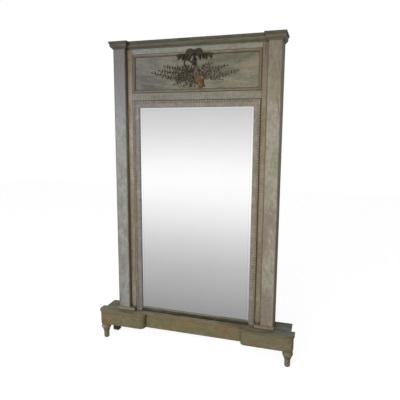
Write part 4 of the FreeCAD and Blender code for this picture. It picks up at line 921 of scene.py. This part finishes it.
def add_knot(shape):
    """The round knot, with four soft creases."""
    rings = []
    for share, out in KNOT_RINGS:
        ring = []
        for k in range(KNOT_SIDES):
            turn = 2 * pi * k / KNOT_SIDES
            crease = 0.8 * cos(4 * turn) if 0.2 < share < 1.0 else 0.0
            ring.append(spot(KNOT_RADIUS * share * cos(turn),
                             KNOT_UP + KNOT_RADIUS * share * sin(turn), out + crease))
        rings.append(ring)
    loft(shape, rings)


def make_bow():
    shape = bmesh.new()
    for side in (-1, 1):
        add_loop(shape, side)
        add_tail(shape, side)
        for share in CORD_LEAVES:
            add_leaf(shape, (side * 2.0, KNOT_UP - share * CORD_LENGTH), side * 0.5 - pi / 2,
                     LEAF_LENGTH, LEAF_WIDTH, LEAF_HEIGHT + 1.0)
        for across, turn in HANGING_LEAVES:
            add_leaf(shape, (side * across, KNOT_UP - HANGING_DROP), side * turn - pi / 2,
                     HANGING_LENGTH, HANGING_WIDTH, HANGING_HEIGHT, base=BOW_FRONT + 1.0, lift=-8.0)
    add_knot(shape)
    add_cord(shape)
    finish_piece("ribbon_bow", shape, RIBBON, "dark_relief", "ornament_bow")


# ---- carved band round the mirror

BAND_INSET, BAND_MARGIN = 26 * MM, 1 * MM
BAND_INNER = UPRIGHT[0].x + BAND_INSET
BAND_OUTER = UPRIGHT[1].x - BAND_MARGIN
BAND_FACE = HEAD[0].y
BAND_FOOT = UPRIGHT[0].z
SIGHT_TOP = HEAD[0].z
LEAF_PITCH = 17 * MM
LEAF_REACH = 1.12                 # length of a leaf in pitches, so that each laps over the next
# Height of a leaf over the moulding's face, in millimetres: at its edges, its foot, and its rise.
BAND_EDGE, BAND_BASE, BAND_RISE = -4.6, -3.4, 5.2


def add_band_leaf(shape, place):
    """One leaf of the band; place turns shares along and across it, and a height, into a point."""
    rings = []
    for k in range(LEAF_STEPS + 1):
        along = 0.03 + 0.95 * k / LEAF_STEPS
        ring = []
        for across in LEAF_SPANS:
            half, rise = blade(along, across)
            edge = abs(across) == 1.0
            out = BAND_EDGE if edge else BAND_BASE + BAND_RISE * rise * (0.75 + 0.25 * along)
            ring.append(place(along, across * half, out * MM))
        rings.append(ring)
    loft(shape, rings)


def make_band_leaves():
    """Overlapping leaves that climb both uprights and run from the middle of the head."""
    middle = (BAND_INNER + BAND_OUTER) / 2
    half = (BAND_OUTER - BAND_INNER) / 2
    shape = bmesh.new()
    for side in (-1, 1):
        for k in range(int((SIGHT_TOP - BAND_FOOT) / LEAF_PITCH)):
            foot = BAND_FOOT + LEAF_PITCH * (k + 0.5)

            def place(along, across, out):
                return Vector((side * (middle + across * half), BAND_FACE - out,
                               foot + along * LEAF_PITCH * LEAF_REACH))
            add_band_leaf(shape, place)
    level = SIGHT_TOP + (middle - UPRIGHT[0].x)
    for side in (-1, 1):
        for k in range(int(middle / LEAF_PITCH)):
            foot = LEAF_PITCH * k

            def place(along, across, out):
                return Vector((side * (foot + along * LEAF_PITCH * LEAF_REACH), BAND_FACE - out,
                               level + across * half))
            add_band_leaf(shape, place)
    finish_piece("band_leaves", shape, LEAFWORK, "painted_carving")


# ---- turned front feet

FOOT_SIDES = 64
# Height up a foot and its radius, in millimetres: shaft, ring between two scored lines, and neck.
FOOT_OUTLINE = ((0.0, 13.5), (0.6, 14.6), (3.0, 16.6), (6.0, 17.1), (20.0, 17.3), (40.0, 18.1),
                (49.5, 18.9), (50.4, 17.4), (51.8, 17.4), (52.6, 20.2), (53.8, 22.2), (56.0, 23.0),
                (58.2, 22.2), (59.4, 20.2), (60.2, 18.4), (61.6, 18.2), (62.4, 20.0))
BULB_FOOT, BULB_TOP, BULB_SIDE, BULB_BELLY, BULB_RINGS = 63.2, 99.2, 22.4, 9.5, 18
FOOT_CAP = ((100.0, 20.4), (101.4, 19.6), (102.4, 20.4), (103.8, 20.6))
SCORED = (51.1 * MM, 60.9 * MM, 101.2 * MM)   # heights of the scored lines
SCORE_HALF = 2.2 * MM


def foot_outline():
    bulb = [(BULB_FOOT + (BULB_TOP - BULB_FOOT) * k / BULB_RINGS,
             BULB_SIDE + BULB_BELLY * sin(pi * k / BULB_RINGS) ** 0.8)
            for k in range(BULB_RINGS + 1)]
    return [*FOOT_OUTLINE, *bulb, *FOOT_CAP]


def scored_line(place):
    """A dark line round the foot."""
    def where(tree):
        return line_at(tree, coordinate(tree, "Z"), place, SCORE_HALF)
    return where


def make_feet():
    """The two turned front feet, each on its own centre under the base."""
    low, high = box("front_feet")
    back = (low.y + high.y) / 2
    reach = high.x - (BULB_SIDE + BULB_BELLY) * MM
    paint = aged_paint("foot_paint", [(140, 122, 104), (112, 110, 88), (128, 108, 90)],
                       GROUND, DARK_DIRT_AND_SHADE, "Z", patch=22.0, shift=10.0, hollow=8 * MM,
                       marks=tuple((scored_line(place), 0.85, DARK_DIRT_AND_SHADE) for place in SCORED))
    shape = bmesh.new()
    for side in (-1, 1):
        loft(shape, [[Vector((side * reach + radius * MM * x, back + radius * MM * y, up * MM))
                      for x, y in circle(FOOT_SIDES)] for up, radius in foot_outline()])
    finish_piece("turned_feet", shape, paint, "painted_base", "front_feet")


# ---- nails behind

NAIL_RADIUS = 3.2 * MM
NAIL_SIDES = 12
# Rings of a nail's domed head: share of its radius, and how far out in millimetres.
NAIL_RINGS = ((1.0, -0.2), (1.0, 0.4), (0.8, 1.0), (0.4, 1.3))
# Nailed pieces: inset of the nails from both ends, and their heights as shares of the piece's.
NAILED = (*(("back_board_%d" % k, 22 * MM, (0.15, 0.5, 0.85)) for k in (1, 2, 3, 4)),
          *((name, 10 * MM, (0.3, 0.7)) for name in ("upper_batten", "base_back_rail")))


def add_nail(shape, centre):
    """A domed nail head, driven in from behind."""
    loft(shape, [[centre + Vector((NAIL_RADIUS * share * x, out * MM, NAIL_RADIUS * share * z))
                  for x, z in circle(NAIL_SIDES)] for share, out in NAIL_RINGS])


def make_nails():
    shape = bmesh.new()
    for name, inset, shares in NAILED:
        low, high = box(name)
        for side in (-1, 1):
            for share in shares:
                level = low.z + (high.z - low.z) * share
                add_nail(shape, Vector((side * (high.x - inset), high.y, level)))
    finish_piece("nail_heads", shape, rusty_steel("nail_steel"), "wall_steel")


# ---- studio

FLOOR_SIZE = 16.0
CARD_GAP = 38 * MM       # before the glass
CARD_LIFT = 9 * MM       # above the base's top board
CARD_HALF = 0.43
CARD_TOP = 1.57
# Height on the card in metres, and how bright the mirror sees it.
CARD_TONES = ((0.176, 0.29), (0.255, 0.33), (0.53, 0.5), (0.69, 0.64), (0.847, 0.82), (0.968, 0.93),
              (1.056, 0.97), (1.122, 0.96), (1.2, 0.907), (1.386, 0.705), (1.52, 0.577))
CARD_STRENGTH = 1.15
# What the camera sees of the floor: a glow of its own, and less of the light on it.
FLOOR_GLOW = 0.84
FLOOR_SHADE = 0.4


def plane(name, corners):
    mesh = bpy.data.meshes.new(name)
    mesh.from_pydata([tuple(corner) for corner in corners], [], [(0, 1, 2, 3)])
    return new_object(name, mesh)


def show_to(tree, rays, seen, otherwise, output):
    """Give one shader to rays of a kind, and another to all the rest."""
    kind = add(tree, "ShaderNodeLightPath").outputs[rays]
    blend = add(tree, "ShaderNodeMixShader", Fac=kind)
    tree.links.new(otherwise.outputs[0], blend.inputs[1])
    tree.links.new(seen.outputs[0], blend.inputs[2])
    tree.links.new(blend.outputs[0], output.inputs["Surface"])


def make_floor():
    """Plain pale floor that reads white to the camera and keeps the shadow."""
    half = FLOOR_SIZE / 2
    floor = plane("floor", [(-half, -half, 0), (half, -half, 0), (half, half, 0), (-half, half, 0)])
    material, tree, surface = new_material("floor_paper")
    set_inputs(tree, surface, Base_Color=(0.93, 0.93, 0.93, 1.0), Roughness=0.9,
               Specular_IOR_Level=0.1)
    shade = add(tree, "ShaderNodeBsdfDiffuse", Color=(FLOOR_SHADE, FLOOR_SHADE, FLOOR_SHADE, 1.0))
    glow = add(tree, "ShaderNodeEmission", Color=(1.0, 1.0, 1.0, 1.0), Strength=FLOOR_GLOW)
    bright = add(tree, "ShaderNodeAddShader")
    tree.links.new(shade.outputs[0], bright.inputs[0])
    tree.links.new(glow.outputs[0], bright.inputs[1])
    show_to(tree, "Is Camera Ray", bright, surface, tree.nodes["Material Output"])
    floor.data.materials.append(material)


def make_card():
    """Graded card that only the mirror sees, and that lets all other light through."""
    front = box("mirror_plate")[0].y - CARD_GAP
    foot = box("base_top_board")[1].z + CARD_LIFT
    card = plane("graded_card", [(-CARD_HALF, front, foot), (CARD_HALF, front, foot),
                                 (CARD_HALF, front, CARD_TOP), (-CARD_HALF, front, CARD_TOP)])
    material = bpy.data.materials.new("graded_card")
    material.use_nodes = True
    tree = material.node_tree
    tree.nodes.clear()
    share = math_node(tree, "DIVIDE", coordinate(tree, "Z"), CARD_TOP)
    tones = [(place / CARD_TOP, (tone, tone, tone, 1.0)) for place, tone in CARD_TONES]
    glow = add(tree, "ShaderNodeEmission", Color=ramp(tree, share, tones), Strength=CARD_STRENGTH)
    clear = add(tree, "ShaderNodeBsdfTransparent")
    show_to(tree, "Is Glossy Ray", glow, clear, add(tree, "ShaderNodeOutputMaterial"))
    card.data.materials.append(material)


SKY_LEFT, SKY_RIGHT = 0.46, 0.18


def make_world():
    """White to the camera and in reflections, and a softer fill on the object, less of it from
    the right."""
    world = bpy.data.worlds.new("studio")
    world.use_nodes = True
    tree = world.node_tree
    tree.nodes.clear()
    rays = add(tree, "ShaderNodeLightPath")
    seen = math_node(tree, "MAXIMUM", rays.outputs["Is Camera Ray"], rays.outputs["Is Glossy Ray"])
    towards = add(tree, "ShaderNodeTexCoord").outputs["Generated"]
    across = add(tree, "ShaderNodeSeparateXYZ", Vector=towards).outputs["X"]
    fill = between(tree, across, -0.5, 0.9, SKY_LEFT, SKY_RIGHT)
    strength = add(tree, "ShaderNodeMix", {"data_type": "FLOAT"})
    for index, value in zip(MIX_NUMBERS, (seen, fill, 1.0)):
        feed(tree, strength.inputs[index], value)
    light = add(tree, "ShaderNodeBackground", Color=(1.0, 1.0, 1.0, 1.0),
                Strength=strength.outputs[MIXED_NUMBER])
    output = add(tree, "ShaderNodeOutputWorld")
    tree.links.new(light.outputs[0], output.inputs["Surface"])
    bpy.context.scene.world = world


# Each light's name, place, width, height and power; all look at the same point.
LIGHTS = (("key_left", (-1.6, -3.6, 2.6), 2.0, 2.0, 54.0),
          ("fill_front", (0.5, -4.2, 1.8), 3.0, 2.5, 70.0))
LIGHT_TARGET = Vector((0.0, 0.0, 1.0))


def area_light(name, place, width, height, power):
    data = bpy.data.lights.new(name, "AREA")
    data.shape = "RECTANGLE"
    data.size = width
    data.size_y = height
    data.energy = power
    lamp = new_object(name, data)
    lamp.location = place
    lamp.rotation_euler = (LIGHT_TARGET - Vector(place)).to_track_quat("-Z", "Y").to_euler()


def make_lights():
    for light in LIGHTS:
        area_light(*light)


bpy.context.scene.view_settings.view_transform = "Standard"
make_camera()
dress_frame()
dress_base()
dress_back()
make_sprays()
make_flowers()
make_basket()
make_handle()
make_bow()
make_band_leaves()
make_feet()
make_nails()
make_floor()
make_card()
make_world()
make_lights()
